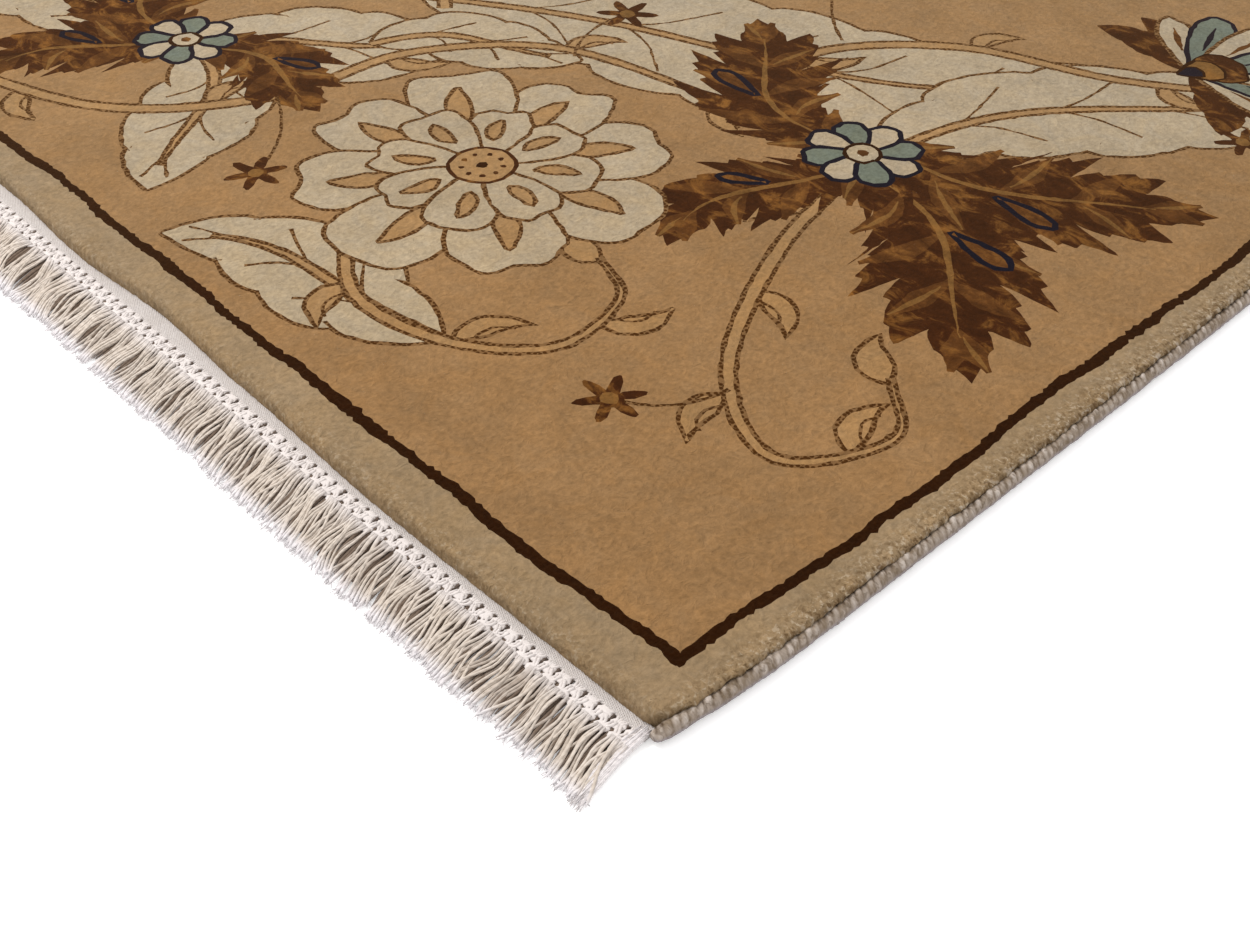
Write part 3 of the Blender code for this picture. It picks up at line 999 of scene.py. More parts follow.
STARS = table(
    "x y from_x from_y radius points turn",
    (0.165, -0.520, 0.19, -0.60, 0.025, 6, 40),
    (0.505, -0.860, 0.545, -0.805, 0.022, 6, 0),
    (0.230, -0.330, 0.31, -0.43, 0.024, 6, 25),
    (0.170, -0.870, 0.09, -0.80, 0.022, 6, 10),
    (0.020, -0.480, -0.04, -0.54, 0.023, 6, 60),
    (-0.170, -0.470, -0.16, -0.39, 0.024, 6, 15),
    (-0.240, -0.700, -0.25, -0.80, 0.022, 6, 0),
    (-0.150, -0.040, -0.05, -0.14, 0.023, 6, 30),
    (0.600, -0.340, 0.58, -0.26, 0.021, 6, 50),
    (-0.400, -0.480, -0.36, -0.41, 0.021, 6, 50),
)


def frame_half_width(y):
    """The frame line's middle at y, on the +X side. It wanders as hand-tied rows do."""
    wander = np.sin(23.0 * y + 1.0) + 0.6 * np.sin(51.0 * y + 2.0) + 0.35 * np.sin(117.0 * y)
    near_corner = FRAME_CORNER_IN * np.clip(1 - (LENGTH / 2 - np.abs(y)) / 0.20, 0, 1)
    return WIDTH / 2 - SIDE_BORDER + FRAME_WOBBLE * wander - near_corner


def frame_half_length(x):
    """The frame line's middle at x, on the -Y end."""
    wander = np.sin(19.0 * x + 2.2) + 0.6 * np.sin(47.0 * x) + 0.35 * np.sin(131.0 * x + 1.0)
    near_corner = 2 * FRAME_CORNER_IN * np.clip(1 - (WIDTH / 2 - np.abs(x)) / 0.15, 0, 1)
    along_edge = 0.4 * between(END_EDGE, "outward", x)
    return LENGTH / 2 - END_BORDER + along_edge + FRAME_WOBBLE * wander - near_corner


def in_field(x, y):
    """True inside the frame line."""
    wide = np.where(x >= 0, frame_half_width(y), frame_half_width(-y))
    long = np.where(y < 0, frame_half_length(x), frame_half_length(-x))
    return (np.abs(x) < wide) & (np.abs(y) < long)


def frame_stroke(line, random):
    """The frame line as a closed loop: it swells and thins slowly, and its edge is ragged by whole knots."""
    count = len(line)
    knots = np.arange(0, count + 12, 12)
    sides = []
    for hand in (-1, 1):
        slow = np.interp(np.arange(count), knots, random.normal(0, SCATTER["frame_width"], len(knots)))
        ragged = random.normal(0, SCATTER["frame_knot"], count)
        sides.append(line + hand * lefts(line) * (FRAME_LINE_WIDTH / 2 + slow + ragged)[:, None])
    return np.vstack([sides[0], sides[1][::-1]])


def draw_frame_line(pattern):
    """Adds the dark frame line: an end and a side, and the same two turned half round."""
    random = np.random.default_rng(SEED + 10)
    corner_x = frame_half_width(-(LENGTH / 2 - END_BORDER))
    corner_y = frame_half_length(corner_x)
    other_corner_x = frame_half_width(LENGTH / 2 - END_BORDER)
    other_corner_y = frame_half_length(-other_corner_x)
    reach = FRAME_LINE_WIDTH / 2
    x = np.arange(-other_corner_x - reach, corner_x + reach, KNOT)
    y = np.arange(-corner_y - reach, other_corner_y + reach, KNOT)
    for line in (np.stack([x, -frame_half_length(x)], axis=1), np.stack([frame_half_width(y), y], axis=1)):
        loop = frame_stroke(line, random)
        pattern.shapes.append((REGIONS.index("frame"), loop))
        pattern.shapes.append((REGIONS.index("frame"), half_turn(loop)))


def draw_pattern():
    """All shapes of the field and the frame line, lowest first."""
    pattern = Pattern()
    drawn = (
        (draw_cream_leaf, CREAM_LEAVES),
        (draw_vine, VINES),
        (draw_brown_leaf, BROWN_LEAVES),
        (draw_calyx, CALYXES),
        (draw_palmette, PALMETTES),
        (draw_blossom, BLOSSOMS),
        (draw_star, STARS),
    )
    edge = (WIDTH / 2 - SIDE_BORDER, LENGTH / 2 - END_BORDER)
    for draw, rows in drawn:
        first = len(pattern.shapes)
        for row in rows:
            draw(pattern, row)
        for k in range(first, len(pattern.shapes)):
            region, loop = pattern.shapes[k]
            pattern.shapes[k] = (region, np.clip(loop, (-edge[0], -edge[1]), edge))
        pattern.shapes += [(region, half_turn(loop)) for region, loop in pattern.shapes[first:]]
    draw_frame_line(pattern)
    return pattern.shapes


def inside(loop, points):
    """Which points lie inside the loop, by how often it winds round them."""
    x, y = points[:, :1], points[:, 1:]
    start, end = loop, np.roll(loop, -1, axis=0)
    side = (end[:, 0] - start[:, 0]) * (y - start[:, 1]) - (x - start[:, 0]) * (end[:, 1] - start[:, 1])
    upward = (start[:, 1] <= y) & (end[:, 1] > y) & (side > 0)
    downward = (start[:, 1] > y) & (end[:, 1] <= y) & (side < 0)
    return upward.sum(axis=1) != downward.sum(axis=1)


FRAME_LOOP = 400             # only the frame line's own loops have this many points


def regions_of(shapes, points):
    """The topmost wool at each point. Motifs show inside the frame line only."""
    x, y = points.T
    field = in_field(x, y)
    regions = np.where(field, REGIONS.index("ground"), REGIONS.index("border"))
    frame_region = REGIONS.index("frame")
    for region, loop in shapes:
        low, high = loop.min(axis=0), loop.max(axis=0)
        near = np.flatnonzero((x > low[0]) & (x < high[0]) & (y > low[1]) & (y < high[1]))
        if len(loop) < FRAME_LOOP or region != frame_region:
            near = near[field[near]]
        if len(near):
            regions[near[inside(loop, points[near])]] = region
    return regions


def carpet_outline():
    """The carpet's outline, anticlockwise, with rounded corners and points about RIM_STEP apart."""
    radius = CORNER_RADIUS
    half_width = carpet_half_width(-(LENGTH / 2 - radius))
    other_width = carpet_half_width(LENGTH / 2 - radius)
    x = np.arange(-other_width + radius, half_width - radius, RIM_STEP)
    end = np.stack([x, -carpet_half_length(x)], axis=1)
    turn = np.radians(np.arange(0, 90, 24))
    low_centre = np.array([half_width - radius, -carpet_half_length(half_width - radius) + radius])
    low_corner = low_centre + radius * np.stack([np.sin(turn), -np.cos(turn)], axis=1)
    high_y = carpet_half_length(-(other_width - radius)) - radius
    y = np.arange(low_centre[1], high_y, RIM_STEP)
    side = np.stack([carpet_half_width(y), y], axis=1)
    high_corner = np.array([other_width - radius, high_y]) + radius * np.stack(
        [np.cos(turn), np.sin(turn)], axis=1
    )
    half = np.vstack([end, low_corner, side, high_corner])
    return np.vstack([half, half_turn(half)])


def covered_points(shapes):
    """For every point of all shapes in turn: whether a later shape hides it."""
    points = np.vstack([loop for _, loop in shapes])
    covered = np.zeros(len(points), bool)
    first = 0
    for _, loop in shapes:
        low, high = loop.min(axis=0), loop.max(axis=0)
        near = (points[:first] > low).all(axis=1) & (points[:first] < high).all(axis=1)
        near = np.flatnonzero(near & ~covered[:first])
        if len(near):
            covered[near] = inside(loop, points[near])
        first += len(loop)
    return covered


def jittered_grid(step):
    """Loose points all over the field, for the plain ground between the shapes."""
    random = np.random.default_rng(SEED)
    x = np.arange(-WIDTH / 2 + GRID_INSET, WIDTH / 2 - GRID_INSET, step)
    y = np.arange(-LENGTH / 2 + GRID_INSET, LENGTH / 2 - GRID_INSET, step)
    grid = np.stack(np.meshgrid(x, y), axis=-1).reshape(-1, 2)
    return grid + random.uniform(-0.12 * step, 0.12 * step, grid.shape)


def shown_edges(loops, shows):
    """The edges of closed loops that have an end that shows, as pairs of point numbers."""
    edges, start = [], 0
    for loop in loops:
        index = start + np.arange(len(loop))
        following = np.roll(index, -1)
        seen = shows[index] | shows[following]
        edges.append(np.stack([index[seen], following[seen]], axis=1))
        start += len(loop)
    return np.vstack(edges)


def facing_up(points, faces):
    """The same triangles, all anticlockwise."""
    corners = points[faces]
    first, second = corners[:, 1] - corners[:, 0], corners[:, 2] - corners[:, 0]
    turned = first[:, 0] * second[:, 1] - first[:, 1] * second[:, 0] < 0
    faces[turned] = faces[turned][:, ::-1]
    return faces


def triangulated(boundary, shapes, grid_step):
    """Triangles within the boundary that follow the edges of all shapes that show.

    Returns points, faces, and where each point of the boundary is among the points.
    """
    loops = [boundary] + [loop for _, loop in shapes]
    shows = np.concatenate([np.ones(len(boundary), bool), ~covered_points(shapes)])
    used, numbers = np.unique(shown_edges(loops, shows), return_inverse=True)
    places = np.vstack([np.vstack(loops)[used], jittered_grid(grid_step)]).tolist()
    edges = numbers.reshape(-1, 2).tolist()
    points, _, faces, origins, _, _ = geometry.delaunay_2d_cdt(
        [Vector(place) for place in places], edges, [], 1, 1e-5, True
    )
    on_boundary = np.full(len(boundary), -1)
    for k, sources in enumerate(origins):
        for source in sources:
            if source < len(boundary):
                on_boundary[source] = k
    points = np.array([tuple(point) for point in points])
    faces = np.array(faces)
    rim_only = np.flatnonzero(np.isin(faces, on_boundary).all(axis=1))
    outside = rim_only[~inside(boundary, points[faces[rim_only]].mean(axis=1))]
    return points, facing_up(points, np.delete(faces, outside, axis=0)), on_boundary


def bake_places(points, back):
    """Where points of the top or the back lie on a texture sheet: the top has two thirds of it."""
    first, width = (0.69, 0.30) if back else (0.01, 0.66)
    u = first + width * (points[..., 0] / WIDTH / 1.03 + 0.5)
    v = 0.01 + 0.98 * (points[..., 1] / LENGTH / 1.03 + 0.5)
    return np.stack([u, v], axis=-1).reshape(-1, 2)


def folded_out(outline, inward):
    """The rings of the rim laid flat round the top, the lowest ring outermost."""
    profile = np.array([(row["inset"], row["height"]) for row in RIM])
    steps = np.linalg.norm(np.diff(profile, axis=0), axis=1)
    down = np.append(np.cumsum(steps[::-1])[::-1], 0.0)
    return [outline + inward * (RIM[-1]["inset"] - distance) for distance in down]


def rim_rings(outline, inward, random):
    """The carpet's rim from the floor up to its top, in uneven tufts that lean out along the sides."""
    from_end = LENGTH / 2 - np.abs(outline[:, 1])
    on_side = np.clip(from_end / 0.012 - 0.4, 0, 1)
    rings = []
    for row in RIM:
        share = row["height"] / PILE_HEIGHT
        tuft = random.uniform(-RIM_TUFT, RIM_TUFT, len(outline)) * math.sin(math.pi * share**1.5)
        tuft = tuft * (1 + 1.2 * on_side)
        ragged = random.uniform(-RIM_RAGGED, RIM_RAGGED, len(outline))
        leaning = -SIDE_OVERHANG * on_side * share**1.6
        flat = outline + inward * (row["inset"] + tuft + ragged + leaning)[:, None]
        height = row["height"] + share * unevenness(*flat.T) + 0.5 * tuft
        rings.append(np.column_stack([flat, height]))
    return rings


def add_wools(piece, regions):
    """Gives each face its wool's colour, and how far the wool is beaded and streaked."""
    add_values(piece, "wool", np.array([WOOLS[name] for name in REGIONS])[regions], "FACE")
    for kind, shares in (("beaded", BEADED), ("streaked", STREAKED)):
        add_values(piece, kind, np.array([shares.get(name, 0.0) for name in REGIONS])[regions], "FACE")


def make_carpet():
    """The knotted carpet as one closed mesh: patterned top, tufted rim and patterned back."""
    outline = carpet_outline()
    inward = lefts(outline, closed=True)
    rings = rim_rings(outline, inward, np.random.default_rng(SEED))
    shapes = draw_pattern()
    back_shapes = [(region, loop[::BACK_SHARE]) for region, loop in shapes if len(loop) > 3 * BACK_SHARE]
    flat_top, top_faces, top_rim = triangulated(rings[-1][:, :2], shapes, TOP_GRID)
    flat_back, back_faces, back_rim = triangulated(rings[0][:, :2], back_shapes, BACK_GRID)
    top = np.column_stack([flat_top, PILE_HEIGHT + unevenness(*flat_top.T)])
    back = np.column_stack([flat_back, np.zeros(len(flat_back))])
    points = np.vstack([top, back, *rings[1:-1]])

    between_rims = len(top) + len(back) + numbered(len(rings) - 2, len(outline))
    rim = ring_faces(np.vstack([len(top) + back_rim, between_rims, top_rim])).reshape(-1, 4)
    triangles = np.vstack([top_faces, back_faces[:, ::-1] + len(top)])
    material = wool_pile_material()
    piece = make_piece("carpet_pile", points, [triangles, rim], material, "knotted_carpet")
    flat_rings = np.vstack(folded_out(outline, inward))
    flat_rim = flat_rings[ring_faces(numbered(len(rings), len(outline)))]
    add_uv(piece, "OFBake", np.vstack([
        bake_places(flat_top[top_faces], back=False),
        bake_places(flat_back[back_faces[:, ::-1]], back=True),
        bake_places(flat_rim, back=False),
    ]))
    top_regions = regions_of(shapes, flat_top[top_faces].mean(axis=1))
    back_regions = regions_of(back_shapes, flat_back[back_faces].mean(axis=1))
    rim_regions = np.full(len(rim), REGIONS.index("border"))
    add_wools(piece, np.concatenate([top_regions, back_regions, rim_regions]))


# Side cords

WRAP_PITCH = 0.0046
CORD_SIDES = 16
RINGS_PER_WRAP = 5
CORD_END_OUT = 0.0042        # how far the wraps go past the carpet's end
CORD_END_ROUND = 0.007       # over this length the cord's end is rounded
CORD_RISE = 1.10             # the wraps build the cord up a little
CORD_TUCK = 0.0008           # how far the wraps press in under the pile


def wandering(y, count, random, amount, summed=False):
    """Random values along the cord, joined by straight lines; each adds to the last where summed."""
    values = random.normal(0, amount, count)
    values = np.cumsum(values) if summed else values
    return np.interp(y, np.linspace(y[0, 0], y[-1, 0], count), values)


def make_side_cord(name, material, turned):
    """The side cord with its overcasting: a closed tube that swells unevenly at each slanted wrap."""
    random = np.random.default_rng(SEED + turned)
    end_y = LENGTH / 2 + CORD_END_OUT
    y = np.linspace(-end_y, end_y, int(LENGTH / WRAP_PITCH) * RINGS_PER_WRAP)[:, None]
    angle = (2 * np.pi * np.arange(CORD_SIDES) / CORD_SIDES)[None, :]

    # Which wrap each point is on, and how large and how light that wrap is
    drift = wandering(y, 160, random, 0.22, summed=True)
    turn = y / WRAP_PITCH + drift + 0.34 * np.cos(angle) + 0.12 * np.sin(2 * angle)
    number = np.floor(turn).astype(int)
    number -= number.min()
    size = random.uniform(0.15, 1.0, number.max() + 1)[number]
    tone = random.uniform(0.0, 1.0, number.max() + 1)[number] + random.normal(0, 0.18, number.shape)

    # Shape: each wrap swells, with a bead on its crown, and the cord's ends are rounded
    upper = np.clip(0.35 + 0.9 * np.sin(angle), 0.08, 1)
    swell = np.sin(np.pi * (turn % 1.0)) ** 0.7 * upper
    crown = np.where(number % 2, 1.45, 0.75) + 0.5 * (size - 0.5)
    bead = np.exp(-(((angle - crown) / 0.42) ** 2)) * swell
    radius = CORD_DIAMETER / 2
    rough = wandering(y, 260, random, 0.035) + random.normal(0, 0.032, number.shape)
    reach = radius * (0.86 + 0.06 * swell * size + 0.22 * bead * size + rough)
    end = np.clip((end_y - np.abs(y)) / CORD_END_ROUND, 0, 1)
    reach = reach * (0.50 + 0.50 * np.sqrt(end))
    x = carpet_half_width(y) + CLEARANCE - CORD_TUCK + radius + (reach + 0.5 * CORD_TUCK) * np.cos(angle)
    z = CORD_RISE * np.maximum(radius + reach * np.sin(angle), 0.0)
    points = np.stack([x, np.broadcast_to(y, x.shape), z], axis=-1).reshape(-1, 3)
    index = numbered(*x.shape)
    around = np.roll(index, -1, axis=1)
    quads = np.stack([index[:-1], index[1:], around[1:], around[:-1]], axis=-1).reshape(-1, 4)
    caps = np.stack([index[0], index[-1][::-1]])
    piece = make_piece(name + "_overcast", points, [quads, caps], material, name, turned)

    # Colour: painted shade between wraps and in some gaps by the pile, and grey-blue painted shade below on
    # the outer side
    dark_spot = np.clip(0.45 - np.cos(angle), 0, 1) * np.clip(1.1 - swell, 0, 1)
    by_pile = 2.2 * dark_spot * (size < 0.55) * random.uniform(0.4, 1.2, swell.shape)
    between_wraps = 0.5 * (1 - swell) ** 2 * upper * size
    under = np.clip(0.75 - 1.5 * np.sin(angle), 0, 1) * np.clip(np.cos(angle) + 0.4, 0, 1)
    # tone: each wrap's random tone, with painted shade on the lower side and between wraps, a painted
    # highlight on each bead's crown, and lighter towards the cord's ends
    tone = 0.60 * tone * (0.3 + 0.7 * swell) + 0.8 * bead * size + 0.5 * (1 - end)
    add_values(piece, "shade", np.clip(between_wraps + by_pile, 0, 1).ravel(), "POINT")
    add_values(piece, "tone", np.clip(tone, 0, 1).ravel(), "POINT")
    add_values(piece, "under", np.broadcast_to(under, x.shape).ravel(), "POINT")


# Fringe


def fringe_span():
    """Where the strip starts and ends across the width, and the pitch of the bundles."""
    first_x = -(carpet_half_width(LENGTH / 2) - STRIP_END_INSET)
    last_x = carpet_half_width(-LENGTH / 2) - STRIP_END_INSET
    return first_x, last_x, (last_x - first_x) / BUNDLES


def swung(x, out):
    """Sideways shift of the fringe rooted at x, at the distance out from the carpet."""
    share = np.clip((out - STRIP_OUT) / (FRINGE_OUT - STRIP_OUT), 0, None)
    return between(LOCK_LEANS, "lean", x) * share**1.7


STRIP_ROWS = 9
STRIP_TUCK = 0.0012          # how far the strip goes in under the pile
STRIP_SCALLOP = 0.0007       # its outer edge bulges between the knots
STRIP_EDGE_DROP = 0.0009     # and dips at its very edge


def make_strip(name, material, turned):
    """The flat-woven strip between the pile and the knots."""
    random = np.random.default_rng(SEED + 3)
    first_x, last_x, pitch = fringe_span()
    x = np.linspace(first_x, last_x, BUNDLES * 4 + 1)
    start = carpet_half_length(x) - STRIP_TUCK
    scallop = STRIP_SCALLOP * np.cos(2 * np.pi * (x - first_x) / pitch + np.pi)
    stop = LENGTH / 2 + STRIP_OUT + scallop + random.normal(0, SCATTER["strip_edge"], len(x))
    rows = []
    for share in np.linspace(0, 1, STRIP_ROWS):
        height = STRIP_THICKNESS * (1.0 - 0.10 * share) + random.normal(0, SCATTER["strip_height"], len(x))
        height = height - STRIP_EDGE_DROP * (share == 1.0)
        rows.append(np.stack([x, -(start + share * (stop - start)), height], axis=1))
    rows = np.array(rows + [rows[-1] * (1, 1, 0), rows[0] * (1, 1, 0)])
    index = numbered(len(rows), len(x))
    quads = ring_faces(index.T).swapaxes(0, 1).reshape(-1, 4)
    caps = np.stack([index[:, 0], index[::-1, -1]])
    points = rows.reshape(-1, 3)
    make_piece(name + "_strip", points, [quads, caps], material, name, turned)


def header_yarns(first_x, pitch, random):
    """Short yarns from the strip to the first row of knots, and from there to the second row."""
    share = np.linspace(0, 1, 4)[None, :]
    knot_x = first_x + (np.arange(BUNDLES)[:, None] + 0.5) * pitch
    flat = np.zeros((BUNDLES, 4))
    paths = []
    for spread in (-0.34, -0.12, 0.12, 0.34):
        out = STRIP_OUT - 0.0015 + (FIRST_KNOTS_OUT - STRIP_OUT + 0.0015) * share
        x = knot_x + swung(knot_x, out) + spread * pitch * (1 - 0.55 * share)
        z = 0.0021 + 0.0006 * share
        paths.append(np.stack([x, flat - (LENGTH / 2 + out), flat + z], axis=-1))
    for hand in (-1, 1):
        for spread in (-0.5, 0.5):
            out = FIRST_KNOTS_OUT + (SECOND_KNOTS_OUT - FIRST_KNOTS_OUT) * share
            x = knot_x + swung(knot_x, out) + hand * pitch * (0.16 + 0.28 * share)
            x = x + spread * 0.0021
            z = 0.0028 - 0.0005 * share + 0.0003 * spread
            paths.append(np.stack([x, flat - (LENGTH / 2 + out), flat + z], axis=-1))
    paths = np.concatenate(paths)
    paths[..., :2] += random.normal(0, SCATTER["header_yarn"], paths[..., :2].shape)
    return tubes(paths, np.full(paths.shape[:2], YARN_RADIUS * 1.1), 5)


def knots(centres, half_size, random):
    """Small tied knots: squashed balls with a few ridges round them."""
    rings, sides = 5, 10
    lift = np.linspace(-1, 1, rings + 2)[1:-1, None]
    angle = 2 * np.pi * np.arange(sides)[None, :] / sides
    waist = np.sqrt(1 - lift**2)
    ridge = 1 + 0.06 * np.sin(4 * angle + 5 * lift)
    across, along = waist * np.cos(angle) * ridge, waist * np.sin(angle) * ridge
    ball = np.stack([across, along, np.broadcast_to(lift, across.shape)], axis=-1)
    unit = np.vstack([ball.reshape(-1, 3), [(0, 0, -1), (0, 0, 1)]])
    scale = half_size * random.uniform(0.90, 1.08, (len(centres), 1, 3))
    turn = random.uniform(-0.25, 0.25, len(centres))
    points = unit[None] * scale
    cos, sin = np.cos(turn)[:, None], np.sin(turn)[:, None]
    x = points[..., 0] * cos - points[..., 1] * sin
    y = points[..., 0] * sin + points[..., 1] * cos
    points = np.stack([x, y, points[..., 2]], axis=-1) + centres[:, None]
    index = numbered(rings, sides)
    around = np.roll(index, -1, axis=1)
    quads = ring_faces(index).reshape(-1, 4)
    low = np.stack([around[0], index[0], np.full(sides, rings * sides)], axis=-1)
    high = np.stack([index[-1], around[-1], np.full(sides, rings * sides + 1)], axis=-1)
    offset = (np.arange(len(centres)) * len(unit))[:, None, None]
    quads = (quads[None] + offset).reshape(-1, 4)
    fans = (np.vstack([low, high])[None] + offset).reshape(-1, 3)
    return points.reshape(-1, 3), [quads, fans], np.full((quads.size + fans.size, 2), 0.25)


FIRST_KNOT_HALF_SIZE = np.array([0.0044, 0.0036, 0.0009])
SECOND_KNOT_HALF_SIZE = np.array([0.0046, 0.0032, 0.0011])
KNOT_LIFT = (0.0023, 0.0026)     # the least and the greatest height of a knot's middle


def make_header(name, material, turned):
    """The two rows of knots under the strip, offset like bricks, with their linking yarns."""
    random = np.random.default_rng(SEED + 5)
    first_x, _, pitch = fringe_span()
    first_row = first_x + (np.arange(BUNDLES) + 0.5) * pitch
    second_row = first_x + np.arange(1, BUNDLES) * pitch
    ends = np.array([first_x + 0.35 * pitch, first_x + (BUNDLES - 0.35) * pitch])
    tied = [header_yarns(first_x, pitch, random)]
    for row, out, half_size in (
        (first_row, FIRST_KNOTS_OUT, FIRST_KNOT_HALF_SIZE),
        (np.append(second_row, ends), SECOND_KNOTS_OUT, SECOND_KNOT_HALF_SIZE),
    ):
        x = row + swung(row, out) + random.normal(0, SCATTER["knot_across"], len(row))
        y = -(LENGTH / 2 + out) + random.normal(0, SCATTER["knot_along"], len(row))
        centres = np.column_stack([x, y, random.uniform(*KNOT_LIFT, len(row))])
        tied.append(knots(centres, half_size, random))
    make_cotton(name, "_header", material, [shaded(part, 0.0, 0.55) for part in tied], turned)


def shaded(part, shade, tip):
    """A part with the same shade, and the same share of a tip's colour, all over."""
    return (*part, np.tile((shade, tip), (len(part[0]), 1)))


def make_cotton(name, ending, material, parts, turned):
    """A piece of the fringe from (points, faces, corner_uv, shades) parts, none of it below the floor."""
    points, faces, corner_uv, shades = joined(parts)
    points[:, 2] = np.maximum(points[:, 2], 0.0)
    piece = make_piece(name + ending, points, faces, material, name, turned)
    add_uv(piece, "yarn", corner_uv)
    add_values(piece, "shade", shades[:, 0], "POINT")
    add_values(piece, "tip", shades[:, 1], "POINT")


def clump_shifts(random):
    """How far each bundle is drawn sideways to its neighbours: bundles cling in twos to fives."""
    _, _, pitch = fringe_span()
    shifts = np.zeros(BUNDLES + 1)
    first = 0
    while first <= BUNDLES:
        members = np.arange(first, min(first + int(random.integers(2, 6)), BUNDLES + 1))
        shifts[members] = 0.30 * random.uniform(0.1, 1.0) ** 2 * pitch * (members.mean() - members)
        first = members[-1] + 1
    return shifts


# The loose yarns lie in layers: most on top, and a few below them that show in the gaps, darkened with
# painted shade.
YARN_LAYERS = table(
    "count stations sides from to radius high low shade",
    (7, 12, 5, SECOND_KNOTS_OUT, FRINGE_OUT, 1.00, 0.0034, 0.0013, 0.0),
    (4, 6, 4, STRIP_OUT - 0.001, FRINGE_OUT - 0.006, 1.55, 0.0012, 0.0010, 0.85),
)


BUNDLE_SPREAD = 0.54         # half a bundle's width, as a share of the pitch
GATHERED_BUNDLES = 0.36      # share of the bundles that start tight and open out
STRAYS = 0.11                # share of the top yarns that lie across the others
END_BUNDLES_IN = 0.42        # the outermost bundles come in from the strip's ends, in pitches
TIP_SHORT = 0.0060           # the shortest and longest yarns, against the others
TIP_LONG = 0.0032


def yarn_fan(bundle, reach, on_top, random):
    """How widely each yarn's bundle is spread, along the yarn."""
    tight = random.uniform(0.42, 0.62, BUNDLES + 1)
    loose = random.uniform(0.84, 1.00, BUNDLES + 1)
    gathered = np.where(random.uniform(size=BUNDLES + 1) < GATHERED_BUNDLES, tight, loose)[bundle][:, None]
    gathered = gathered if on_top else 1.0
    fan = gathered + (1 - gathered) * np.clip(reach / 0.35, 0, 1)
    at_end = ((bundle == 0) | (bundle == BUNDLES))[:, None]
    return np.where(at_end, (0.80 if on_top else 0.35) * fan, fan)


def yarn_leans(bundle, disorder, on_top, random):
    """How far each yarn's tip leans sideways, and which yarns are strays."""
    amount = len(bundle)
    lean = random.normal(0, SCATTER["bundle_lean"], BUNDLES + 1)[bundle]
    lean = lean + random.normal(0, SCATTER["yarn_lean"], amount)
    stray = (random.uniform(size=amount) < STRAYS) & on_top
    across = np.where(stray, random.uniform(-0.011, 0.009, amount), 0)
    return (lean * disorder + across)[:, None], stray[:, None]


def yarn_paths(layer, shifts, random):
    """One layer's yarns of one end, from their knots to their tips.

    Returns their paths and radii, how far out they have come at each station, and how much painted shade
    they take.
    """
    first_x, _, pitch = fringe_span()
    count = layer["count"]
    bundle = np.repeat(np.arange(BUNDLES + 1), count)
    amount = len(bundle)
    on_top = layer["shade"] == 0
    disorder = 1.0 if on_top else 0.2
    spread = 2 * (np.tile(np.arange(count), BUNDLES + 1) + 0.5) / count - 1
    spread = (spread + disorder * random.normal(0, 0.12, amount))[:, None]
    tip_out = layer["to"] + random.normal(0, SCATTER["yarn_length"], amount)
    tip_out = tip_out + random.normal(0, SCATTER["bundle_length"], BUNDLES + 1)[bundle]
    tip_out = np.clip(tip_out, layer["to"] - TIP_SHORT, layer["to"] + TIP_LONG)
    share = np.linspace(0, 1, layer["stations"])[None, :]
    out = layer["from"] + share * (tip_out - layer["from"])[:, None]
    reach = (out - layer["from"]) / (FRINGE_OUT - layer["from"])

    first, last = first_x + END_BUNDLES_IN * pitch, first_x + (BUNDLES - END_BUNDLES_IN) * pitch
    root = np.clip(first_x + bundle * pitch, first, last)[:, None]
    fan = yarn_fan(bundle, reach, on_top, random)
    phase = random.uniform(0, 2 * np.pi, (BUNDLES + 1, 1))[bundle] + random.normal(0, 0.8, (amount, 1))
    wave = 0.0020 * disorder * np.sin(1.5 * np.pi * reach + phase) * np.clip(reach * 3, 0, 1)
    lean, stray = yarn_leans(bundle, disorder, on_top, random)
    clump = on_top * shifts[bundle][:, None] * np.sin(np.pi * np.clip(reach * 1.1, 0, 1)) ** 0.7
    x = root + BUNDLE_SPREAD * pitch * spread * fan + swung(root, out) + clump + wave + lean * reach**1.5
    depth = random.uniform(-1, 1, (amount, 1)) * np.sin(np.pi * np.clip(reach, 0, 1)) ** 0.5
    z = layer["high"] + (layer["low"] - layer["high"]) * np.clip(reach, 0, 1) ** 0.8
    z = z + (0.00065 * depth if on_top else 0) + 0.0010 * (stray & (reach > 0)) * (1 - reach)
    paths = np.stack([x, -(LENGTH / 2) - out, z], axis=-1)

    swell = 1 + 0.08 * np.sin(14 * share + phase)
    ends = np.interp(share, (0, 0.86, 0.95, 1.0), (1.0, 1.0, 1.12, 0.40))
    radii = YARN_RADIUS * layer["radius"] * random.uniform(0.88, 1.10, (amount, 1)) * swell * ends
    # A random duller tone for each top yarn, and painted shade where it lies deep
    dull = 0.16 * random.uniform(size=(amount, 1)) ** 2 + 0.46 * np.clip(-depth, 0, 1)
    depth_shade = layer["shade"] + (dull if on_top else 0)
    return paths, radii, np.broadcast_to(reach, radii.shape), depth_shade


FIBRES_PER_TIP = 2
FIBRE_RADIUS = 0.00050
FIBRE_LENGTHS = (0.0030, 0.0062)
LONGEST_FRAY = 0.0045        # no fibre reaches further past the fringe's end
END_STRANDS = 38
END_STRAND_RADIUS = 0.00058


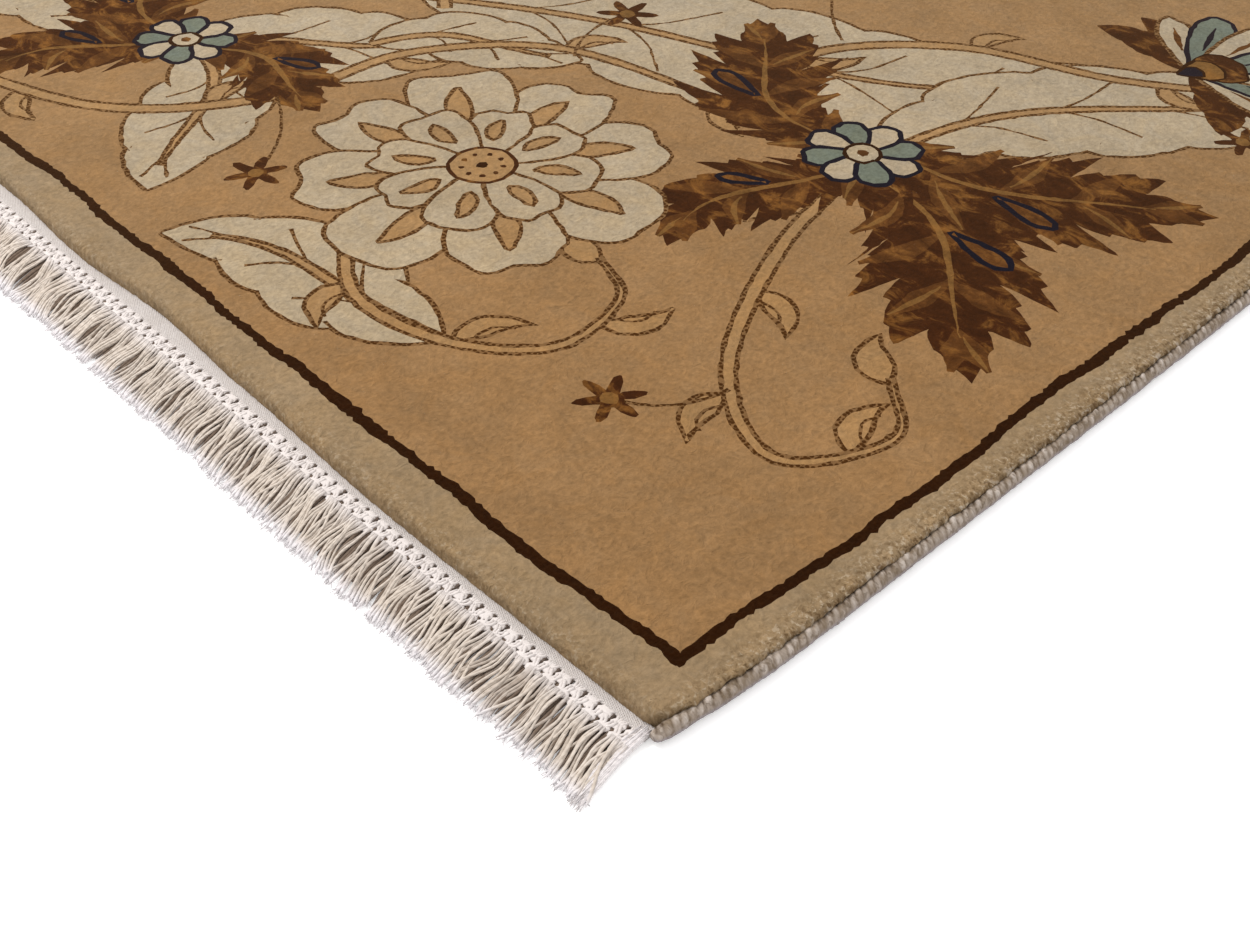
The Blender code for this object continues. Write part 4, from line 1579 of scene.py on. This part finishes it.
def frayed_ends(paths, random):
    """Thin fibres that splay from each yarn's tip."""
    tips = np.repeat(paths[:, -2], FIBRES_PER_TIP, axis=0)
    ahead = np.repeat(paths[:, -1] - paths[:, -3], FIBRES_PER_TIP, axis=0)
    heading = np.arctan2(ahead[:, 1], ahead[:, 0]) + random.normal(0, 0.65, len(tips))
    length = random.uniform(*FIBRE_LENGTHS, len(tips))
    share = np.linspace(0, 1, 3)[None, :]
    x = tips[:, :1] + share * (length * np.cos(heading))[:, None]
    y = tips[:, 1:2] + share * (length * np.sin(heading))[:, None]
    y = np.maximum(y, -(LENGTH / 2 + FRINGE_OUT + LONGEST_FRAY))
    z = np.maximum(tips[:, 2:] * (1 - 0.5 * share), 0.0005)
    radii = np.full((len(tips), 3), FIBRE_RADIUS) * (1 - 0.60 * share)
    return tubes(np.stack([x, y, z + 0 * x], axis=-1), radii, 3)


def end_strands(random):
    """Fine untied strands that run from each end of the strip down the outermost bundle."""
    first_x, last_x, _ = fringe_span()
    count = 2 * END_STRANDS
    edge = np.repeat([first_x, last_x], END_STRANDS)[:, None]
    share = np.linspace(0, 1, 10)[None, :]
    start = random.uniform(0.0005, 0.0060, (count, 1))
    stop = FRINGE_OUT + random.uniform(-0.006, 0.003, (count, 1))
    out = start + share * (stop - start)
    inward = random.uniform(-0.0006, 0.0060, (count, 1))
    wave = 0.0012 * np.sin(2 * np.pi * share + random.uniform(0, 2 * np.pi, (count, 1))) * share
    x = edge - np.sign(edge) * inward + swung(edge, out) + wave
    z = 0.0030 - 0.0018 * share + random.uniform(-0.0006, 0.0010, (count, 1))
    radii = np.full((count, 10), END_STRAND_RADIUS) * np.interp(share, (0, 0.8, 1.0), (1.0, 1.0, 0.4))
    return tubes(np.stack([x, -(LENGTH / 2) - out, z], axis=-1), radii, 4)


def make_yarns(name, material, turned):
    """All the loose yarns of one end as one mesh."""
    random = np.random.default_rng(SEED + 9)
    shifts = clump_shifts(random)
    parts = []
    for layer in YARN_LAYERS:
        paths, radii, reach, depth_shade = yarn_paths(layer, shifts, random)
        tip = np.clip((reach - 0.74) / 0.20, 0, 1) + 0.55 * np.clip(1 - reach / 0.22, 0, 1)
        # painted shade of the deep yarns, fading out towards the tips
        shade = depth_shade * np.clip((0.97 - reach) / 0.12, 0.25, 1)
        shades = np.repeat(np.stack([shade, tip], axis=-1).reshape(-1, 2), layer["sides"], axis=0)
        parts.append((*tubes(paths, radii, layer["sides"]), shades))
        if layer["shade"] == 0:
            parts.append(shaded(frayed_ends(paths, random), 0.0, 1.0))
    parts.append(shaded(end_strands(random), 0.0, 0.8))
    make_cotton(name, "_yarns", material, parts, turned)


# Floor, lights and camera

CAMERA_FROM_CORNER = (0.2855, -0.3175, 0.543)   # from the corner of the pile's top
CAMERA_HEADING = math.radians(-45.6)          # from +Y, clockwise seen from above is positive
CAMERA_DOWN = math.radians(41.9)
CAMERA_ROLL = math.radians(1.0)
CAMERA_LENS = 44.27                           # millimetres, on a sensor 36 wide


def make_camera():
    """The photograph's camera, placed from the corner that it shows."""
    data = bpy.data.cameras.new("camera")
    data.lens = CAMERA_LENS
    data.sensor_width = 36.0
    data.clip_start = 0.01
    heading, down = CAMERA_HEADING, CAMERA_DOWN
    ahead = Vector((math.sin(heading) * math.cos(down), math.cos(heading) * math.cos(down), -math.sin(down)))
    right = ahead.cross(Vector((0, 0, 1))).normalized()
    up = right.cross(ahead)
    rolled_right = math.cos(CAMERA_ROLL) * right + math.sin(CAMERA_ROLL) * up
    rolled_up = math.cos(CAMERA_ROLL) * up - math.sin(CAMERA_ROLL) * right
    camera = bpy.data.objects.new("camera", data)
    corner = Vector((WIDTH / 2, -LENGTH / 2, PILE_HEIGHT))
    axes = Matrix((rolled_right, rolled_up, -ahead)).transposed()
    camera.matrix_world = Matrix.Translation(corner + Vector(CAMERA_FROM_CORNER)) @ axes.to_4x4()
    bpy.context.scene.collection.objects.link(camera)
    bpy.context.scene.camera = camera


def add_light(name, place, target, size, power, colour):
    """A square lamp that faces its target."""
    data = bpy.data.lights.new(name, "AREA")
    data.size = size
    data.energy = power
    data.color = colour
    light = bpy.data.objects.new(name, data)
    light.location = place
    light.rotation_euler = (Vector(target) - Vector(place)).to_track_quat("-Z", "Y").to_euler()
    bpy.context.scene.collection.objects.link(light)


FLOOR_HALF_SIZE = 12.0
FLOOR_LEVEL = -0.0005
FLOOR_GLOW = 0.30            # a light table: the white floor keeps its shadows faint


def make_studio():
    """A white floor, an even white surround and one large soft lamp behind and to the left."""
    mesh = bpy.data.meshes.new("floor")
    signs = ((-1, -1), (1, -1), (1, 1), (-1, 1))
    corners = [(FLOOR_HALF_SIZE * x, FLOOR_HALF_SIZE * y, FLOOR_LEVEL) for x, y in signs]
    mesh.from_pydata(corners, [], [(0, 1, 2, 3)])
    n = Nodes("floor_white")
    place = n.place()
    colour = n.mix(n.noise(place, 3.0), (0.93, 0.93, 0.93, 1.0), (0.95, 0.95, 0.95, 1.0))
    mesh.materials.append(n.finish(colour, 0.8, n.bump(n.noise(place, 40.0), RELIEF["floor"])))
    n.shader.inputs["Emission Color"].default_value = (1.0, 1.0, 1.0, 1.0)
    n.shader.inputs["Emission Strength"].default_value = FLOOR_GLOW
    floor = bpy.data.objects.new("floor", mesh)
    bpy.context.scene.collection.objects.link(floor)
    world = bpy.data.worlds.new("studio")
    world.use_nodes = True
    background = world.node_tree.nodes["Background"]
    background.inputs["Color"].default_value = (1.0, 0.995, 0.99, 1.0)
    background.inputs["Strength"].default_value = 1.0
    bpy.context.scene.world = world
    add_light("key", (-1.7, -1.1, 2.5), (0.0, -0.4, 0.0), 1.8, 86.0, (1.0, 0.98, 0.95))
    bpy.context.scene.view_settings.view_transform = "Standard"


def make_rug():
    make_carpet()
    overcast = overcast_material()
    cotton = cotton_material()
    woven = strip_material()
    for name, turned in (("side_cord_right", False), ("side_cord_left", True)):
        make_side_cord(name, overcast, turned)
    for name, turned in (("fringe_front", False), ("fringe_back", True)):
        make_strip(name, woven, turned)
        make_header(name, cotton, turned)
        make_yarns(name, cotton, turned)


make_rug()
make_camera()
make_studio()
